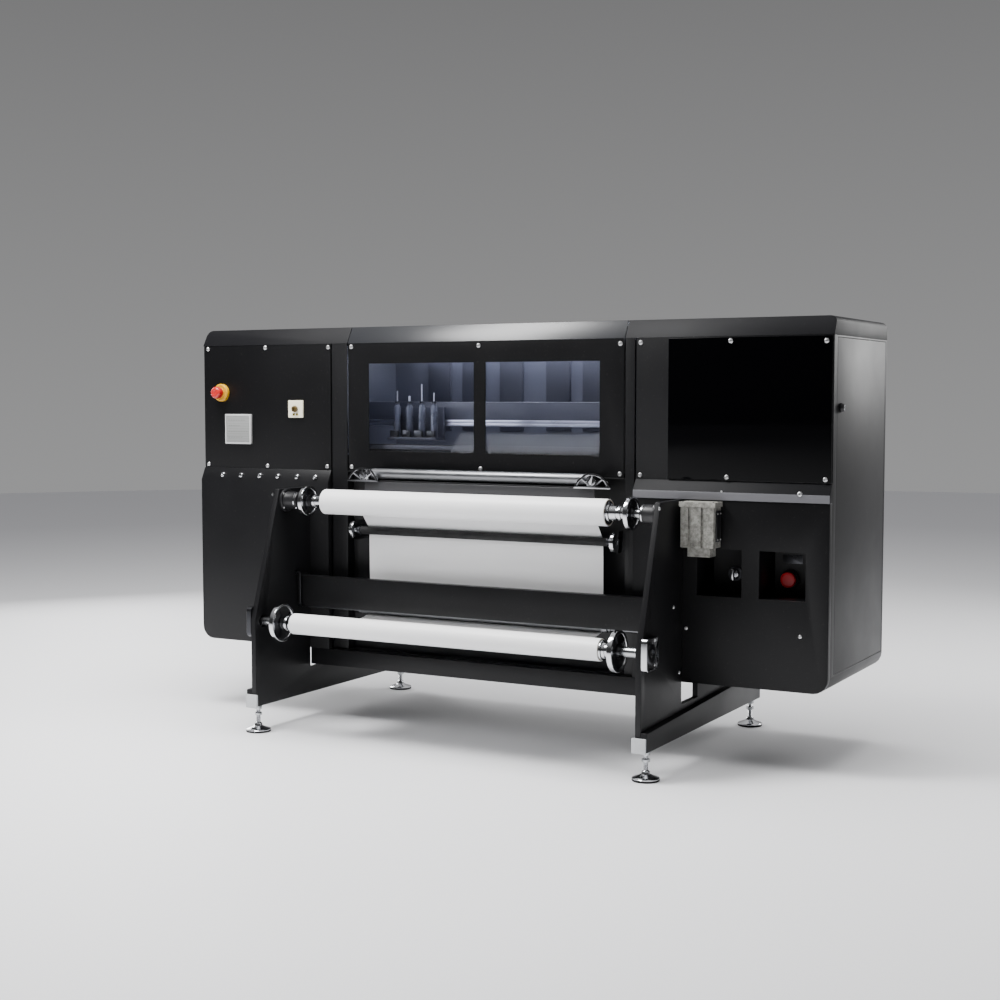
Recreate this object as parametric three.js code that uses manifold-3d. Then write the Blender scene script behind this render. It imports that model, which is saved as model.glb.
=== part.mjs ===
// Roll-fed wide-format printer on a two-legged stand.
// Millimetres, +X to the right of the operator, +Y to the rear, +Z up.
// While it is built, y = 0 is the front face of the cabinet's upper panels and z = 0 is the floor.
import * as THREE from 'three';
import { mergeVertices } from 'three/addons/utils/BufferGeometryUtils.js';
import Module from 'manifold-3d';

const wasm = await Module();
wasm.setup();

// ---------- Driving dimensions ----------

// cabinet
const bodyWidth = 2300;
const bodyDepth = 560;
const bodyBottom = 244; // underside of the cabinet above the floor
const lowerHeight = 556; // lower panels
const ledgeHeight = 57; // sloping ledge between the lower and the upper panels
const upperHeight = 429; // upper panels
const coverHeight = 56; // top covers
const coverSetBack = 31; // how far the covers' front leans back
const coverRadius = 21; // upper side edges of the covers
const cornerRadius = 45; // lower side edges of the cabinet
const sheet = 3; // wall of the folded sheet pieces
const lowerProud = 20; // lower panels stand this far in front of the upper ones
const clearance = 0.4; // between pieces that touch
const groove = 5; // visible joint between front panels

// print bay, between the two post strips
const bayCentre = -18.5;
const bayWidth = 1021;
const postLeftWidth = 62;
const postRightWidth = 31;
const centreRecess = 40; // lower centre panel lies this far back
const windowSideMargin = 83;
const windowTopMargin = 68;
const windowBottomMargin = 68;
const mullion = 44;
const paneThickness = 5;
const bayDepth = 425;

// stand
const legSpacing = 1358; // between the inner faces of the two leg plates
const legThickness = 18;
const legFront = 326; // front edge of the leg plates, in front of the upper panels
const legRear = 622;
const legKnee = 378; // height where the front edge starts to lean back
const legTopSetBack = 136; // how far the front edge leans back at its top
const legNotch = 132; // length of the gap under the cabinet
const legNotchFloor = 176;
const beamWidth = 20;
const beamBottom = 88;
const beamFrontHeight = 56;
const beamRearHeight = 92;
const beamRear = 632;
const capThickness = 8;
const capHeight = 44;
const footFrontInset = 36; // from a beam's front end to its foot
const footRearInset = 46;
const padRadius = 41;
const stemRadius = 7;

// cross pieces
const crossBeamHeight = 104;
const crossBeamTop = 502;
const crossBeamFront = 90;
const crossBeamDepth = 30;
const memberHeight = 57;
const memberDepth = 40;

// supply roll
const supplyBack = -154;
const supplyUp = 761;
const supplyRadius = 41;
const supplyEndGap = 164; // from the tube's end to the leg plate
const supplyDiscRadius = 51;
const supplyDiscThickness = 14;
const supplyDiscGap = 84;
const supplyBearingRadius = 29;
const supplyBearingLength = 57;

// take-up roll
const takeupBack = -283;
const takeupUp = 368;
const takeupRadius = 33.5;
const takeupEndGap = 126;
const takeupDiscRadius = 62;
const takeupDiscThickness = 16;
const takeupDiscGap = 68;
const housingWidth = 88;
const housingHeight = 98;
const housingLength = 18;

// shafts and tubes
const tubeWall = 4;
const shaftRadius = 15;
const runningClearance = 0.09;
const chuckLength = 90;

// idler, tension bar and web
const mediaWidth = 866;
const webThickness = 1;
const idlerBack = -34;
const idlerUp = 660;
const idlerRadius = 13;
const idlerShaftRadius = 8;
const idlerOverhang = 22; // roller beyond the web at each end
const bracketThickness = 12;
const bracketHeight = 66;
const tensionBack = -30;
const tensionUp = 390;
const tensionRadius = 12;
const tensionRodRadius = 6;

// guide roller above the web path
const guideBack = -50;
const guideUp = 853;
const guideRadius = 17;
const guideHalfLength = 398;
const guideShaftRadius = 6;
const archRadius = 62;
const archBand = 7;
const archThickness = 8;
const archCentre = 421;
const apronHeight = 38;
const apronTop = 826;
const apronOverhang = 12;

// feed motor
const motorWidth = 104;
const motorDepth = 60;
const motorHeight = 122;
const motorTop = 782;
const motorGap = 17; // from the leg plate
const motorFlange = 14;
const motorStub = 27;

// recesses in the lower right panel
const recessDepth = 145;
const recessWall = 2;
const recessWidth = 141;
const recessHeight = 142;
const recessUp = 512;
const recessEdge = 70; // from the cabinet's right side to the first recess
const recessPitch = 196;

// controls
const collarRadius = 31;
const collarThickness = 14;
const stopHeadRadius = 21;
const stopHeadThickness = 24;
const stopStemRadius = 14;
const stopTravel = 5;
const displayWidth = 114;
const displayHeight = 105;
const displayThickness = 9;
const keyPlateWidth = 62;
const keyPlateHeight = 60;
const keyPlateThickness = 6;
const keyRadius = 11;
const recessHeadRadius = 24;
const recessHeadThickness = 14;

// service door
const doorFrontMargin = 36;
const doorRearMargin = 13;
const doorTopMargin = 6;
const doorBottomMargin = 50;
const doorGap = 1;
const latchRadius = 14;
const latchProud = 15;

// inside the print bay
const platenTop = 950;
const platenThickness = 36;
const gantryBottom = 1012;
const gantryHeight = 76;
const gantryDepth = 66;
const carriageWidth = 190;

const roundSides = 32;
const smallSides = 24;

// ---------- Worked-out places ----------

const half = bodyWidth / 2;
const ledgeLow = bodyBottom + lowerHeight;
const ledgeTop = ledgeLow + ledgeHeight;
const panelTop = ledgeTop + upperHeight;
const bodyTop = panelTop + coverHeight;

const bayLeft = bayCentre - bayWidth / 2;
const bayRight = bayCentre + bayWidth / 2;
const postLeftInner = bayLeft - groove;
const postLeftOuter = postLeftInner - postLeftWidth;
const postRightInner = bayRight + groove;
const postRightOuter = postRightInner + postRightWidth;
const leftPanelEnd = postLeftOuter - groove;
const rightPanelStart = postRightOuter + groove;

const legInner = legSpacing / 2;
const legOuter = legInner + legThickness;
const beamInner = legOuter + clearance;
const beamOuter = beamInner + beamWidth;
const footX = (legInner + beamOuter) / 2;
const lowerFront = -lowerProud;

// ---------- Geometry helpers ----------

// Keeps only the positions, joins equal ones and drops triangles without area.
function tidy(geometry) {
  const bare = geometry.index ? geometry.toNonIndexed() : geometry.clone();
  bare.deleteAttribute('normal');
  bare.deleteAttribute('uv');
  const merged = mergeVertices(bare, 1e-4);
  const source = merged.index.array;
  const kept = [];
  for (let i = 0; i < source.length; i += 3) {
    const [a, b, c] = [source[i], source[i + 1], source[i + 2]];
    if (a !== b && b !== c && c !== a) kept.push(a, b, c);
  }
  merged.setIndex(kept);
  return facingOut(merged);
}

// Turns the triangles round if the enclosed volume comes out negative.
function facingOut(geometry) {
  const p = geometry.attributes.position;
  const index = geometry.index.array;
  const a = new THREE.Vector3();
  const b = new THREE.Vector3();
  const c = new THREE.Vector3();
  let volume = 0;
  for (let i = 0; i < index.length; i += 3) {
    a.fromBufferAttribute(p, index[i]);
    b.fromBufferAttribute(p, index[i + 1]);
    c.fromBufferAttribute(p, index[i + 2]);
    volume += a.dot(b.cross(c));
  }
  if (volume < 0) {
    const turned = Array.from(index);
    for (let i = 0; i < turned.length; i += 3) {
      [turned[i + 1], turned[i + 2]] = [turned[i + 2], turned[i + 1]];
    }
    geometry.setIndex(turned);
  }
  return geometry;
}

function toSolid(geometry) {
  const g = tidy(geometry);
  const mesh = new wasm.Mesh({
    numProp: 3,
    vertProperties: new Float32Array(g.attributes.position.array),
    triVerts: new Uint32Array(g.index.array),
  });
  return new wasm.Manifold(mesh);
}

function fromSolid(solid) {
  const mesh = solid.getMesh();
  const geometry = new THREE.BufferGeometry();
  geometry.setAttribute('position', new THREE.BufferAttribute(new Float32Array(mesh.vertProperties), 3));
  geometry.setIndex(Array.from(mesh.triVerts));
  return geometry;
}

function join(...geometries) {
  return fromSolid(geometries.map(toSolid).reduce((sum, next) => sum.add(next)));
}

function cut(base, ...tools) {
  return fromSolid(tools.map(toSolid).reduce((rest, next) => rest.subtract(next), toSolid(base)));
}

function common(a, b) {
  return fromSolid(toSolid(a).intersect(toSolid(b)));
}

function box(x0, x1, y0, y1, z0, z1) {
  const geometry = new THREE.BoxGeometry(x1 - x0, y1 - y0, z1 - z0);
  geometry.translate((x0 + x1) / 2, (y0 + y1) / 2, (z0 + z1) / 2);
  return geometry;
}

function outline(points) {
  const shape = new THREE.Shape();
  points.forEach(([u, v], i) => (i === 0 ? shape.moveTo(u, v) : shape.lineTo(u, v)));
  shape.closePath();
  return shape;
}

// Extrudes an outline along one axis. The outline's two coordinates are the other two axes, in X, Y, Z order.
function prism(axis, points, from, to) {
  const depth = to - from;
  const geometry = new THREE.ExtrudeGeometry(outline(points), { depth, bevelEnabled: false });
  if (axis === 'z') {
    geometry.translate(0, 0, from);
    return geometry;
  }
  const x = new THREE.Vector3(1, 0, 0);
  const y = new THREE.Vector3(0, 1, 0);
  const z = new THREE.Vector3(0, 0, 1);
  const turn = new THREE.Matrix4();
  if (axis === 'x') {
    turn.makeBasis(y, z, x);
    geometry.applyMatrix4(turn);
    geometry.translate(from, 0, 0);
  } else {
    turn.makeBasis(x, z, y.clone().negate());
    geometry.applyMatrix4(turn);
    geometry.translate(0, to, 0);
  }
  return geometry;
}

// Points of an arc from one angle to another, in degrees.
function arc(cu, cv, radius, fromDegrees, toDegrees, steps) {
  const points = [];
  for (let i = 0; i <= steps; i += 1) {
    const t = THREE.MathUtils.degToRad(fromDegrees + ((toDegrees - fromDegrees) * i) / steps);
    points.push([cu + radius * Math.cos(t), cv + radius * Math.sin(t)]);
  }
  return points;
}

// Turned piece: profile is [distance along the axis, radius] from one end to the other.
function turned(axis, profile, sides) {
  const points = profile.map(([along, radius]) => new THREE.Vector2(radius, along));
  const geometry = new THREE.LatheGeometry(points, sides);
  if (axis === 'x') geometry.rotateZ(-Math.PI / 2);
  if (axis === 'z') geometry.rotateX(Math.PI / 2);
  return geometry;
}

// Ring-shaped turned piece: the profile closes on itself, clear of the axis.
function ring(axis, profile, sides) {
  return turned(axis, [...profile, profile[0]], sides);
}

function at(geometry, x, y, z) {
  geometry.translate(x, y, z);
  return geometry;
}

function mirrored(geometry) {
  const copy = tidy(geometry);
  copy.scale(-1, 1, 1);
  return facingOut(copy);
}

// ---------- Materials ----------

const paint = (color, roughness, metalness = 0) => new THREE.MeshStandardMaterial({ color, roughness, metalness });
const blackSheet = paint(0x1b1b1d, 0.45, 0.2);
const darkSheet = paint(0x2c2c2e, 0.45, 0.2);
const greySheet = paint(0x6f6f72, 0.4, 0.5);
const ledgeGrey = paint(0x8b8b8e, 0.35, 0.7);
const blackGloss = paint(0x050506, 0.08);
const clearPane = new THREE.MeshStandardMaterial({ color: 0xaab4c2, roughness: 0.05, transparent: true, opacity: 0.3 });
const liner = paint(0x5f6676, 0.6);
const chrome = paint(0xd8d8da, 0.15, 1);
const steel = paint(0xa9a9ab, 0.35, 0.9);
const capWhite = paint(0xdfe2e4, 0.5);
const paper = paint(0xf2f2f1, 0.8);
const castGrey = paint(0x8d8c86, 0.6, 0.6);
const aluminium = paint(0xb9babd, 0.35, 0.9);
const rubberBlack = paint(0x18181a, 0.8);
const yellow = paint(0xe8cf3a, 0.45);
const red = paint(0xc01f26, 0.35);
const cream = paint(0xe9e5cc, 0.5);
const screenGrey = paint(0x9a9a9a, 0.4);
const blackPlastic = paint(0x111113, 0.5);

const machine = new THREE.Group();

function add(name, geometry, material) {
  const mesh = new THREE.Mesh(tidy(geometry), material);
  mesh.name = name;
  mesh.geometry.computeVertexNormals();
  machine.add(mesh);
  return mesh;
}

// ---------- Stand ----------

const legTop = ledgeLow - 1;
const legBack = lowerFront - clearance;
const underBody = bodyBottom - clearance;

function legPlate() {
  const face = [
    [-legFront, beamBottom],
    [legRear, beamBottom],
    [legRear, underBody - 60],
    [legRear - 70, underBody],
    [legBack + legNotch, underBody],
    [legBack + legNotch, legNotchFloor],
    [legBack, legNotchFloor],
    [legBack, legTop],
    [-legFront + legTopSetBack, legTop],
    [-legFront, legKnee],
  ];
  const hole = shaftRadius + 6;
  const shaftHole = at(turned('x', [[0, 0], [0, hole], [40, hole], [40, 0]], smallSides), legInner - 10, takeupBack, takeupUp);
  return cut(prism('x', face, legInner, legOuter), shaftHole);
}

function footBeam() {
  const side = [
    [-legFront, beamBottom],
    [beamRear, beamBottom],
    [beamRear, beamBottom + beamRearHeight],
    [-legFront, beamBottom + beamFrontHeight],
  ];
  return prism('x', side, beamInner, beamOuter);
}

function beamCap() {
  const front = -legFront - clearance;
  return box(legInner - 8, beamOuter - 2, front - capThickness, front, beamBottom - 3, beamBottom - 3 + capHeight);
}

function foot() {
  const nut = beamBottom - clearance - 14;
  const profile = [
    [0, 0],
    [0, padRadius],
    [6, padRadius],
    [13, padRadius * 0.72],
    [20, padRadius * 0.34],
    [26, stemRadius + 3],
    [30, stemRadius],
    [nut, stemRadius],
    [nut, 12],
    [beamBottom - clearance, 12],
    [beamBottom - clearance, 0],
  ];
  return turned('z', profile, smallSides);
}

add('leg_plate_right', legPlate(), darkSheet);
add('leg_plate_left', mirrored(legPlate()), darkSheet);
add('foot_beam_right', footBeam(), darkSheet);
add('foot_beam_left', mirrored(footBeam()), darkSheet);
add('beam_cap_right', beamCap(), capWhite);
add('beam_cap_left', mirrored(beamCap()), capWhite);

const frontFootY = -legFront + footFrontInset;
const rearFootY = beamRear - footRearInset;
add('foot_front_right', foot(), chrome).position.set(footX, frontFootY, 0);
add('foot_front_left', foot(), chrome).position.set(-footX, frontFootY, 0);
add('foot_rear_right', foot(), chrome).position.set(footX, rearFootY, 0);
add('foot_rear_left', foot(), chrome).position.set(-footX, rearFootY, 0);

const beamEnd = legInner - clearance;
const crossFlange = 6;
const crossBeam = join(
  box(-beamEnd + 1, beamEnd - 1, -crossBeamFront, -crossBeamFront + crossBeamDepth, crossBeamTop - crossBeamHeight, crossBeamTop),
  box(-beamEnd, -beamEnd + crossFlange, -crossBeamFront - 3, -crossBeamFront + crossBeamDepth + 22, crossBeamTop - crossBeamHeight - 3, crossBeamTop + 3),
  box(beamEnd - crossFlange, beamEnd, -crossBeamFront - 3, -crossBeamFront + crossBeamDepth + 22, crossBeamTop - crossBeamHeight - 3, crossBeamTop + 3),
);
add('cross_beam', crossBeam, darkSheet);
add('cross_member_low', box(-beamEnd, beamEnd, legBack + 2, legBack + 2 + memberDepth, underBody - memberHeight, underBody), darkSheet);

// ---------- Cabinet ----------

// Cabinet outline seen from the front, with rounded lower corners.
function bodyOutline(left, right, bottom, top, radius) {
  return [
    ...arc(left + radius, bottom + radius, radius, 180, 270, 5),
    ...arc(right - radius, bottom + radius, radius, 270, 360, 5),
    [right, top],
    [left, top],
  ];
}

const shellFront = sheet + clearance;
const shellRear = bodyDepth - sheet - clearance;
const outerShell = prism('y', bodyOutline(-half, half, bodyBottom, panelTop, cornerRadius), shellFront, shellRear);
const innerShell = prism(
  'y',
  bodyOutline(-half + sheet, half - sheet, bodyBottom + sheet, panelTop + 10, cornerRadius - sheet),
  shellFront - 10,
  shellRear + 10,
);
const doorY0 = doorFrontMargin;
const doorY1 = bodyDepth - doorRearMargin;
const doorZ0 = bodyBottom + doorBottomMargin;
const doorZ1 = panelTop - doorTopMargin;
const doorway = box(half - sheet - 5, half + 5, doorY0, doorY1, doorZ0, doorZ1);
add('cabinet_shell', cut(outerShell, innerShell, doorway), darkSheet);

const door = box(half - sheet, half, doorY0 + doorGap, doorY1 - doorGap, doorZ0 + doorGap, doorZ1 - doorGap);
add('service_door', door, darkSheet);
const latchY = doorY0 + 29;
const latchZ = bodyBottom + lowerHeight + ledgeHeight + upperHeight / 2 + 4;
const latch = turned(
  'x',
  [[0, 0], [0, latchRadius], [latchProud - 5, latchRadius], [latchProud - clearance, latchRadius - 5], [latchProud - clearance, 0]],
  smallSides,
);
add('door_latch', latch, blackPlastic).position.set(half + clearance, latchY, latchZ);

add('back_panel', prism('y', bodyOutline(-half, half, bodyBottom, panelTop, cornerRadius), bodyDepth - sheet, bodyDepth), darkSheet);

// top covers: one folded cap, cut at its two joints
const coverBase = panelTop + clearance;
function capSolid(inset) {
  const front = -1 + inset;
  const rear = bodyDepth + 1 - inset;
  const top = bodyTop - inset;
  const bottom = inset ? coverBase - 20 : coverBase;
  const lean = coverSetBack / coverHeight;
  const side = [
    [front - (coverBase - bottom) * lean, bottom],
    [rear, bottom],
    [rear, top],
    [front + coverSetBack - inset * lean, top],
  ];
  const radius = coverRadius - inset;
  const width = half + 1 - inset;
  const face = [
    [-width, bottom - 1],
    [width, bottom - 1],
    ...arc(width - radius, top - radius, radius, 0, 90, 4),
    ...arc(-width + radius, top - radius, radius, 90, 180, 4),
  ];
  return common(prism('x', side, -width - 5, width + 5), prism('y', face, front - 60, rear + 5));
}
const wholeCover = cut(capSolid(0), capSolid(sheet));
const coverSeamLeft = bayLeft - groove / 2;
const coverSeamRight = bayRight + groove / 2;
const coverSlice = (x0, x1) => common(wholeCover, box(x0, x1, -100, bodyDepth + 100, coverBase - 30, bodyTop + 30));
add('cover_left', coverSlice(-half - 20, coverSeamLeft - 1), darkSheet);
add('cover_centre', coverSlice(coverSeamLeft + 1, coverSeamRight - 1), greySheet);
add('cover_right', coverSlice(coverSeamRight + 1, half + 20), darkSheet);

// two post strips with the recessed lower centre panel folded between them
const shelfTop = ledgeTop - 1;
const hatFloor = bodyBottom + sheet + clearance;
const recessBackY = centreRecess;
const hat = [
  [postLeftOuter, 0],
  [postLeftInner, 0],
  [postLeftInner, recessBackY],
  [postRightInner, recessBackY],
  [postRightInner, 0],
  [postRightOuter, 0],
  [postRightOuter, sheet],
  [postRightInner + sheet, sheet],
  [postRightInner + sheet, recessBackY + sheet],
  [postLeftInner - sheet, recessBackY + sheet],
  [postLeftInner - sheet, sheet],
  [postLeftOuter, sheet],
];
const centreFrame = join(
  prism('z', hat, hatFloor, shelfTop),
  box(postLeftInner - 1.5, postRightInner + 1.5, 0, recessBackY + 1.5, shelfTop - sheet, shelfTop),
  box(postLeftOuter, postLeftInner, 0, sheet, shelfTop - 5, panelTop),
  box(postRightInner, postRightOuter, 0, sheet, shelfTop - 5, panelTop),
);
add('centre_frame', centreFrame, darkSheet);

// upper front panels
const panelX0 = -half + 2;
const panelX1 = half - 2;
add('panel_upper_left', box(panelX0, leftPanelEnd, 0, sheet, ledgeTop, panelTop), blackSheet);
add('panel_upper_right', box(rightPanelStart, panelX1, 0, sheet, ledgeTop, panelTop), darkSheet);

const windowWidth = (bayWidth - 2 * windowSideMargin - mullion) / 2;
const windowZ0 = ledgeTop + windowBottomMargin;
const windowZ1 = panelTop - windowTopMargin;
const windowLeftX0 = bayLeft + windowSideMargin;
const windowRightX0 = windowLeftX0 + windowWidth + mullion;
const windowPanel = cut(
  box(bayLeft, bayRight, 0, sheet, ledgeTop, panelTop),
  box(windowLeftX0, windowLeftX0 + windowWidth, -5, sheet + 5, windowZ0, windowZ1),
  box(windowRightX0, windowRightX0 + windowWidth, -5, sheet + 5, windowZ0, windowZ1),
);
add('window_panel', windowPanel, blackSheet);
const paneY = sheet + clearance;
add(
  'window_pane',
  box(windowLeftX0 - 20, windowRightX0 + windowWidth + 20, paneY, paneY + paneThickness, windowZ0 - 20, windowZ1 + 20),
  clearPane,
);

const blackStart = rightPanelStart + 107;
add('black_window', box(blackStart, half - 5, -4 - clearance, -clearance, ledgeTop + 2, panelTop - 3), blackGloss);

// lower left panel: a shallow pan whose top slopes up to the upper panel
function pan(x0, x1, side, innerSide, roundLeft) {
  const face = (inset) => {
    const radius = cornerRadius - inset;
    const a = x0 + inset;
    const b = x1 - inset;
    const bottom = bodyBottom + inset;
    const corner = roundLeft ? arc(a + radius, bottom + radius, radius, 180, 270, 5) : arc(b - radius, bottom + radius, radius, 270, 360, 5);
    const start = roundLeft ? [...corner, [b, bottom]] : [[a, bottom], ...corner];
    return [...start, [b, ledgeTop + 50], [a, ledgeTop + 50]];
  };
  const outer = common(prism('x', side, x0 - 5, x1 + 5), prism('y', face(0), lowerFront - 30, 40));
  const inner = common(prism('x', innerSide, x0 - 5, x1 + 5), prism('y', face(sheet), lowerFront - 30, 40));
  return cut(outer, inner);
}

const slopeLow = ledgeLow + 13;
const slopeTop = ledgeTop - clearance;
const leftSide = [
  [lowerFront, bodyBottom],
  [sheet, bodyBottom],
  [sheet, slopeTop],
  [0, slopeTop],
  [lowerFront, slopeLow],
];
const leftInnerSide = [
  [lowerFront + sheet, bodyBottom - 20],
  [sheet + 20, bodyBottom - 20],
  [sheet + 20, slopeTop - 6],
  [0, slopeTop - 6],
  [lowerFront + sheet, slopeLow - 3],
];
add('panel_lower_left', pan(-half, leftPanelEnd, leftSide, leftInnerSide, true), darkSheet);

const rightPanTop = ledgeLow - clearance;
const rightSide = [[lowerFront, bodyBottom], [sheet, bodyBottom], [sheet, rightPanTop], [lowerFront, rightPanTop]];
const rightInnerSide = [
  [lowerFront + sheet, bodyBottom - 20],
  [sheet + 20, bodyBottom - 20],
  [sheet + 20, rightPanTop - sheet],
  [lowerFront + sheet, rightPanTop - sheet],
];
const recessRight = half - recessEdge;
const recesses = [recessRight - recessPitch, recessRight].map((x1) => [x1 - recessWidth, x1]);
const openings = recesses.map(([x0, x1]) => box(x0, x1, lowerFront - 5, lowerFront + sheet + 1, recessUp, recessUp + recessHeight));
add('panel_lower_right', cut(pan(rightPanelStart, half, rightSide, rightInnerSide, false), ...openings), darkSheet);

const ledge = [
  [lowerFront - 3, ledgeLow],
  [sheet, ledgeLow],
  [sheet, slopeTop],
  [0, slopeTop],
  [lowerFront - 3, ledgeLow + 23],
];
add('ledge_strip', prism('x', ledge, rightPanelStart, half), ledgeGrey);

// recess boxes, open to the front
const recessFront = lowerFront + sheet + clearance;
const recessBack = lowerFront + recessDepth;
function recessBox([x0, x1]) {
  const w = recessWall;
  return cut(
    box(x0 - w, x1 + w, recessFront, recessBack, recessUp - w, recessUp + recessHeight + w),
    box(x0, x1, recessFront - 5, recessBack - w, recessUp, recessUp + recessHeight),
  );
}
add('recess_box_left', recessBox(recesses[0]), blackSheet);
add('recess_box_right', recessBox(recesses[1]), blackSheet);

// ---------- Controls ----------

const leftWidth = leftPanelEnd - panelX0;
const onLeftPanel = (across, up) => [panelX0 + across * leftWidth, ledgeTop + up * upperHeight];

const [stopX, stopZ] = onLeftPanel(0.148, 0.616);
const collar = ring(
  'y',
  [
    [-clearance, stopStemRadius + clearance],
    [-clearance, collarRadius],
    [-collarThickness + 3, collarRadius],
    [-collarThickness, collarRadius - 3],
    [-collarThickness, stopStemRadius + clearance],
  ],
  roundSides,
);
add('stop_collar', at(collar, stopX, 0, stopZ), yellow);
const headBack = -collarThickness - stopTravel - 2;
const stopHead = turned(
  'y',
  [
    [-clearance - stopTravel - 1, 0],
    [-clearance - stopTravel - 1, stopStemRadius],
    [headBack, stopStemRadius],
    [headBack, stopHeadRadius],
    [headBack - stopHeadThickness + 7, stopHeadRadius],
    [headBack - stopHeadThickness, stopHeadRadius - 8],
    [headBack - stopHeadThickness, 0],
  ],
  roundSides,
);
add('stop_button', at(stopHead, stopX, 0, stopZ), red);

const [displayX, displayZ] = onLeftPanel(0.282, 0.318);
const displayBezel = prism(
  'z',
  [
    [-displayWidth / 2, -clearance],
    [-displayWidth / 2, -displayThickness + 3],
    [-displayWidth / 2 + 3, -displayThickness],
    [displayWidth / 2 - 3, -displayThickness],
    [displayWidth / 2, -displayThickness + 3],
    [displayWidth / 2, -clearance],
  ],
  -displayHeight / 2,
  displayHeight / 2,
);
add('display', at(displayBezel, displayX, 0, displayZ), screenGrey);

const [keyX, keyZ] = onLeftPanel(0.737, 0.485);
const plateFront = -clearance - keyPlateThickness;
add(
  'key_plate',
  box(keyX - keyPlateWidth / 2, keyX + keyPlateWidth / 2, plateFront, -clearance, keyZ - keyPlateHeight / 2, keyZ + keyPlateHeight / 2),
  cream,
);
const keyBack = plateFront - clearance;
const keyKnob = join(
  turned('y', [[keyBack, 0], [keyBack, keyRadius], [keyBack - 8, keyRadius], [keyBack - 10, keyRadius - 2], [keyBack - 10, 0]], smallSides),
  box(-2.5, 2.5, keyBack - 22, keyBack - 9, -9, 9),
);
add('key_switch', at(keyKnob, keyX, 0, keyZ), blackPlastic);

// turn key on the back wall of the left recess
const recessWallFace = recessBack - recessWall;
const turnKeyX = recesses[0][0] + 0.5 * recessWidth;
const turnKeyZ = recessUp + 0.38 * recessHeight;
const turnBack = recessWallFace - clearance;
const turnKey = join(
  turned('y', [[turnBack, 0], [turnBack, 14], [turnBack - 8, 14], [turnBack - 10, 12], [turnBack - 10, 0]], smallSides),
  box(-5, 5, turnBack - 34, turnBack - 9, -18, 18),
);
add('turn_key', at(turnKey, turnKeyX, 0, turnKeyZ), chrome);

// red button on the back wall of the right recess
const buttonX = recesses[1][0] + 0.35 * recessWidth;
const buttonZ = recessUp + 0.335 * recessHeight;
const sleeveFront = recessWallFace - clearance - 10;
const sleeve = ring(
  'y',
  [
    [recessWallFace - clearance, 12 + clearance],
    [recessWallFace - clearance, recessHeadRadius + 4],
    [sleeveFront, recessHeadRadius + 4],
    [sleeveFront, 12 + clearance],
  ],
  roundSides,
);
add('recess_button_base', at(sleeve, buttonX, 0, buttonZ), blackPlastic);
const recessHeadBack = sleeveFront - stopTravel - 1;
const recessHead = turned(
  'y',
  [
    [sleeveFront + 4, 0],
    [sleeveFront + 4, 12],
    [recessHeadBack, 12],
    [recessHeadBack, recessHeadRadius],
    [recessHeadBack - recessHeadThickness + 5, recessHeadRadius],
    [recessHeadBack - recessHeadThickness, recessHeadRadius - 7],
    [recessHeadBack - recessHeadThickness, 0],
  ],
  roundSides,
);
add('recess_button', at(recessHead, buttonX, 0, buttonZ), red);

// ---------- Rolls ----------

// Half profile of a shaft for one end; the other end is its mirror image.
function shaftProfile(spec) {
  const { tubeEnd, chuckRadius, hubRadius, discAt, discThickness, discRadius, end } = spec;
  const rim = discThickness / 2;
  const skin = discThickness / 6;
  const right = [
    [tubeEnd - chuckLength, shaftRadius],
    [tubeEnd - chuckLength, chuckRadius],
    [tubeEnd, chuckRadius],
    [tubeEnd + 6, hubRadius],
    [(tubeEnd + discAt) / 2, hubRadius],
    [(tubeEnd + discAt) / 2, hubRadius - 3],
    [discAt - skin, hubRadius - 3],
    [discAt - skin, discRadius - 9],
    [discAt - rim, discRadius - 7],
    [discAt - rim, discRadius - 1.5],
    [discAt - rim + 2, discRadius],
    [discAt + rim - 2, discRadius],
    [discAt + rim, discRadius - 1.5],
    [discAt + rim, discRadius - 7],
    [discAt + skin, discRadius - 9],
    [discAt + skin, shaftRadius + 4],
    [discAt + rim + 2, shaftRadius + 4],
    [discAt + rim + 2, shaftRadius],
    [end, shaftRadius],
    [end, 0],
  ];
  const left = right.map(([x, r]) => [-x, r]).reverse();
  return [...left, ...right];
}

function tube(halfLength, outer, inner) {
  return ring(
    'x',
    [[-halfLength, inner], [-halfLength, outer - 1], [-halfLength + 1, outer], [halfLength - 1, outer], [halfLength, outer - 1], [halfLength, inner]],
    roundSides,
  );
}

const supplyHalf = legInner - supplyEndGap;
const supplyShaft = turned(
  'x',
  shaftProfile({
    tubeEnd: supplyHalf,
    chuckRadius: supplyRadius - tubeWall - clearance,
    hubRadius: 23,
    discAt: legInner - supplyDiscGap - supplyDiscThickness / 2,
    discThickness: supplyDiscThickness,
    discRadius: supplyDiscRadius,
    end: legInner - 2,
  }),
  smallSides,
);
add('supply_tube', tube(supplyHalf, supplyRadius, supplyRadius - tubeWall), paper).position.set(0, supplyBack, supplyUp);
add('supply_shaft', supplyShaft, chrome).position.set(0, supplyBack, supplyUp);

const bearingEnd = legInner - clearance;
const bearingStart = bearingEnd - supplyBearingLength;
const supplyBearing = () =>
  ring(
    'x',
    [
      [bearingStart, shaftRadius + runningClearance],
      [bearingStart, supplyBearingRadius - 4],
      [bearingStart + 4, supplyBearingRadius],
      [bearingEnd - 9, supplyBearingRadius],
      [bearingEnd - 9, supplyBearingRadius + 9],
      [bearingEnd, supplyBearingRadius + 9],
      [bearingEnd, shaftRadius + runningClearance],
    ],
    roundSides,
  );
add('supply_bearing_right', supplyBearing(), blackPlastic).position.set(0, supplyBack, supplyUp);
add('supply_bearing_left', mirrored(supplyBearing()), blackPlastic).position.set(0, supplyBack, supplyUp);

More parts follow.
